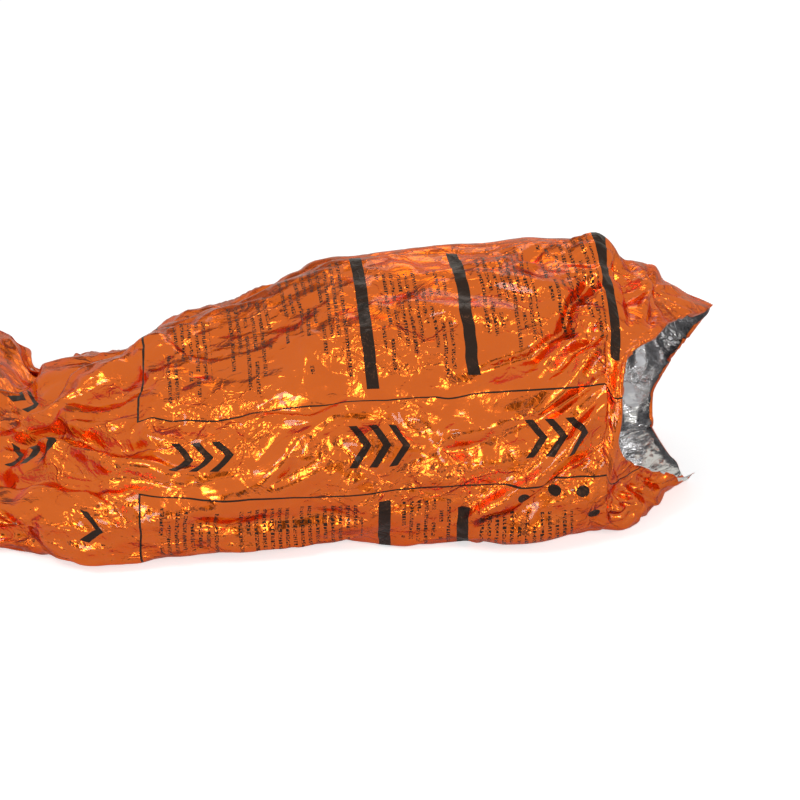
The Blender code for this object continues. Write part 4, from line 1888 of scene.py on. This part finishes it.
@dataclass(frozen=True)
class Rays:
    """Kinds of rays in one material or world: looked at, mirrored, and either or passed on."""

    looked_at: Wire
    mirrored: Wire
    seen: Wire

    @classmethod
    def of(cls, shading: Shading) -> "Rays":
        """Return 1 or 0 for each kind, from one Light Path node.

        Args:
            shading: the nodes of the material or world.

        Returns:
            The three kinds as wires of 1 or 0.
        """
        path = shading.node("ShaderNodeLightPath")
        camera, glossy, passed = (
            shading.wire(path, f"Is {kind} Ray") for kind in ("Camera", "Glossy", "Transmission")
        )
        return cls(camera, glossy, camera | glossy | passed)


@dataclass(frozen=True)
class Studio:
    """White floor, soft lamps and the camera of the photograph.

    The camera looks at `target` from `distance`, `elevation` degrees over the floor.  `room` is
    the colour that lights the bag, and `mirrored_room` the one that the film mirrors.
    `room_strength` is the strength for every ray, and what is added for rays that see the room
    at all and for those looked at.  `floor_glow` is what is added to the floor for the same.
    """

    target: tuple[float, float, float] = (0.531, -0.1835, 0.1518)
    distance: float = 4.0
    elevation: float = 25.0
    lens: float = 102.86
    sensor: float = 36.0
    room: Colour = (0.8, 0.8, 0.8, 1)
    mirrored_room: Colour = (0.81, 0.79, 0.70, 1)
    white: Colour = (1, 1, 1, 1)
    room_strength: tuple[float, float, float] = (0.55, 0.38, 0.07)
    floor_colour: Colour = (0.77, 0.77, 0.77, 1)
    floor_glow: tuple[float, float] = (0.09, 0.55)
    floor_half: float = 30.0
    lamps: tuple[Lamp, ...] = (
        Lamp("key_lamp", (-1.3, -2.2, 2.9), 1.0, 10.0),
        Lamp("side_lamp", (2.6, -2.4, 1.6), 0.85, 10.0),
        Lamp("back_lamp", (0.6, 2.2, 2.4), 1.0, 1.7),
        Lamp("low_lamp", (-0.6, -3.2, 0.7), 0.7, 10.0),
    )
    cards: tuple[Card, ...] = (
        Card("left_card", (-2.6, -3.4, 0.0), (-1.0, -4.2, 1.5)),
        Card("middle_card", (0.0, -4.6, 0.0), (0.9, -4.6, 2.4)),
        Card("right_card", (1.6, -4.2, 0.0), (2.2, -3.6, 1.8)),
        Card("back_card", (-1.6, 3.0, 0.7), (-0.1, 3.0, 2.6), 0.40),
    )

    def camera(self) -> None:
        """Place the camera."""
        data = bpy.data.cameras.new("camera")
        data.lens, data.sensor_width = self.lens, self.sensor
        made = placed("camera", data)
        tilt = math.radians(self.elevation)
        away = Vector((0, -math.cos(tilt), math.sin(tilt)))
        made.location = Vector(self.target) + away * self.distance
        made.rotation_euler = (math.pi / 2 - tilt, 0, 0)
        bpy.context.scene.camera = made

    @staticmethod
    def _stage(made: bpy.types.Object, finish: bpy.types.Material) -> None:
        """Dress a floor or card."""
        made.data.materials.append(finish)

    @staticmethod
    def _matt(shading: Shading, colour: Colour, **values: float) -> Wire:
        """Return a matt shader of one colour."""
        return shading.made("ShaderNodeBsdfPrincipled", None,
                            {"Base Color": colour, "Roughness": 0.9, **values})

    def floor(self) -> None:
        """Make the white floor, which keeps the bag's shadow."""
        made = level_panel("floor", self.floor_half, 0.0)
        finish = bpy.data.materials.new("floor_white")
        shading = Shading(finish)
        rays = Rays.of(shading)
        matt = self._matt(shading, self.floor_colour, **{"Specular IOR Level": 0.0})
        strength = rays.seen * self.floor_glow[0] + rays.looked_at * self.floor_glow[1]
        glow = shading.made("ShaderNodeEmission", None, {"Strength": strength})
        shading.surface(shading.made("ShaderNodeAddShader", None, {0: matt, 1: glow}))
        self._stage(made, finish)

    def world(self) -> None:
        """Light the room evenly, and show it white."""
        world = bpy.data.worlds.new("room")
        shading = Shading(world)
        rays = Rays.of(shading)
        plain, seen, looked_at = self.room_strength
        strength = rays.seen * seen + plain + looked_at * rays.looked_at
        room = shading.mixed(rays.mirrored, self.room, self.mirrored_room)
        colour = shading.mixed(rays.looked_at, room, self.white)
        sky = shading.made("ShaderNodeBackground", None, {"Color": colour, "Strength": strength})
        shading.surface(sky, "World")
        bpy.context.scene.world = world

    def lamp(self, lamp: Lamp) -> None:
        """Add a lamp.

        Args:
            lamp: its name, place, size and radiance.
        """
        data = bpy.data.lights.new(lamp.name, "AREA")
        data.size, data.energy = lamp.size, lamp.radiance * math.pi * lamp.size * lamp.size
        made = placed(lamp.name, data)
        made.location = lamp.place
        aim = Vector(self.target) - Vector(lamp.place)
        made.rotation_euler = aim.to_track_quat("-Z", "Y").to_euler()

    def card(self, card: Card) -> None:
        """Stand a card in the room.

        Args:
            card: its name, corners and tone.
        """
        low, high, tone = card.low, card.high, card.tone
        corners = (low, (high[0], high[1], low[2]), high, (low[0], low[1], high[2]))
        made = panel(card.name, corners)
        made.visible_camera = made.visible_diffuse = made.visible_shadow = False
        finish = bpy.data.materials.new(card.name)
        shading = Shading(finish)
        shading.surface(self._matt(shading, (tone, 0.9 * tone, 0.8 * tone, 1)))
        self._stage(made, finish)

    def build(self) -> None:
        """Set up everything round the bag."""
        self.camera()
        self.floor()
        self.world()
        for lamp in self.lamps:
            self.lamp(lamp)
        for card in self.cards:
            self.card(card)
        bpy.context.scene.view_settings.view_transform = "Standard"


class BivvyBag:
    """The whole bag."""

    def __init__(self, sizes: BagSizes) -> None:
        """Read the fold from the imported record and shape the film.

        Args:
            sizes: the bag's sizes.
        """
        self.sizes = sizes
        joint = frame["record"]["behaviour"]["joints"][0]
        self.fold_point = np.array(joint["pos_m"])
        axis = np.array(joint["axis"])
        self.to_foot = unit(np.cross(axis, [0.0, 0.0, -1.0]))
        self.film = CrumpledFilm(LaidForm(sizes, self.fold_point), sizes)

    def _bend(self, piece: bpy.types.Object) -> None:
        """Bake a piece's placement into its mesh; the fold's ends are worked out but not used."""
        reach = self.to_foot * 0.035
        start, end = self.fold_point - reach, self.fold_point + reach
        tuple(start)
        tuple(end)
        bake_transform(piece)

    def build(self) -> None:
        """Build and dress every piece."""
        orange, deep = (0.88, 0.176, 0.018, 1), (0.78, 0.134, 0.012, 1)
        film = {"metallic": 0.97, "roughness": 0.18, "coat": 0.45}
        printed = FilmFinish("film_printed", orange, deep, **film, print=Print()).material()
        plain = FilmFinish("film_plain", orange, deep, **film).material()
        silver = FilmFinish(
            "film_silver", (0.84, 0.84, 0.86, 1), (0.74, 0.74, 0.76, 1), metallic=0.80,
            roughness=0.20, coat=0.0, edge_colour=(1, 1, 1, 1),
        ).material()
        welded = FilmFinish(
            "film_welded", deep, deep, metallic=0.9, roughness=0.30, coat=0.3,
            creases=Creases(calm=0.05), place=Place.OBJECT,
        ).material()
        near = Sheet(Side.NEAR, self.film, self.sizes).build(printed, silver)
        far = Sheet(Side.FAR, self.film, self.sizes).build(plain, silver)
        grid = self.film.grid
        top = SideWeld("top_weld_strip", grid.top_columns, self.film).build(welded)
        ground = SideWeld("ground_weld_strip", grid.ground_columns, self.film).build(welded)
        foot = FootWeld(self.film, self.sizes).build(welded)
        for piece, nodes, slot in (
            (near, ("near_sheet", "near_sheet_foot"), "film_near"),
            (far, ("far_sheet", "far_sheet_foot"), "film_far"),
            (top, ("top_side_weld", "top_side_weld_foot"), "weld"),
            (ground, ("ground_side_weld", "ground_side_weld_foot"), "weld"),
        ):
            self._bend(piece)
            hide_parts(*nodes)
            log.info("%s: %d faces", piece.name, len(piece.data.polygons))
        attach(foot, "foot_end")
        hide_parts("foot_weld")


def main() -> None:
    """Build the bag and its studio in order."""
    logging.basicConfig(level=logging.INFO, format="%(message)s")
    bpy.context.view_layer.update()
    BivvyBag(SIZES).build()
    Studio().build()


if __name__ == "__main__":
    main()
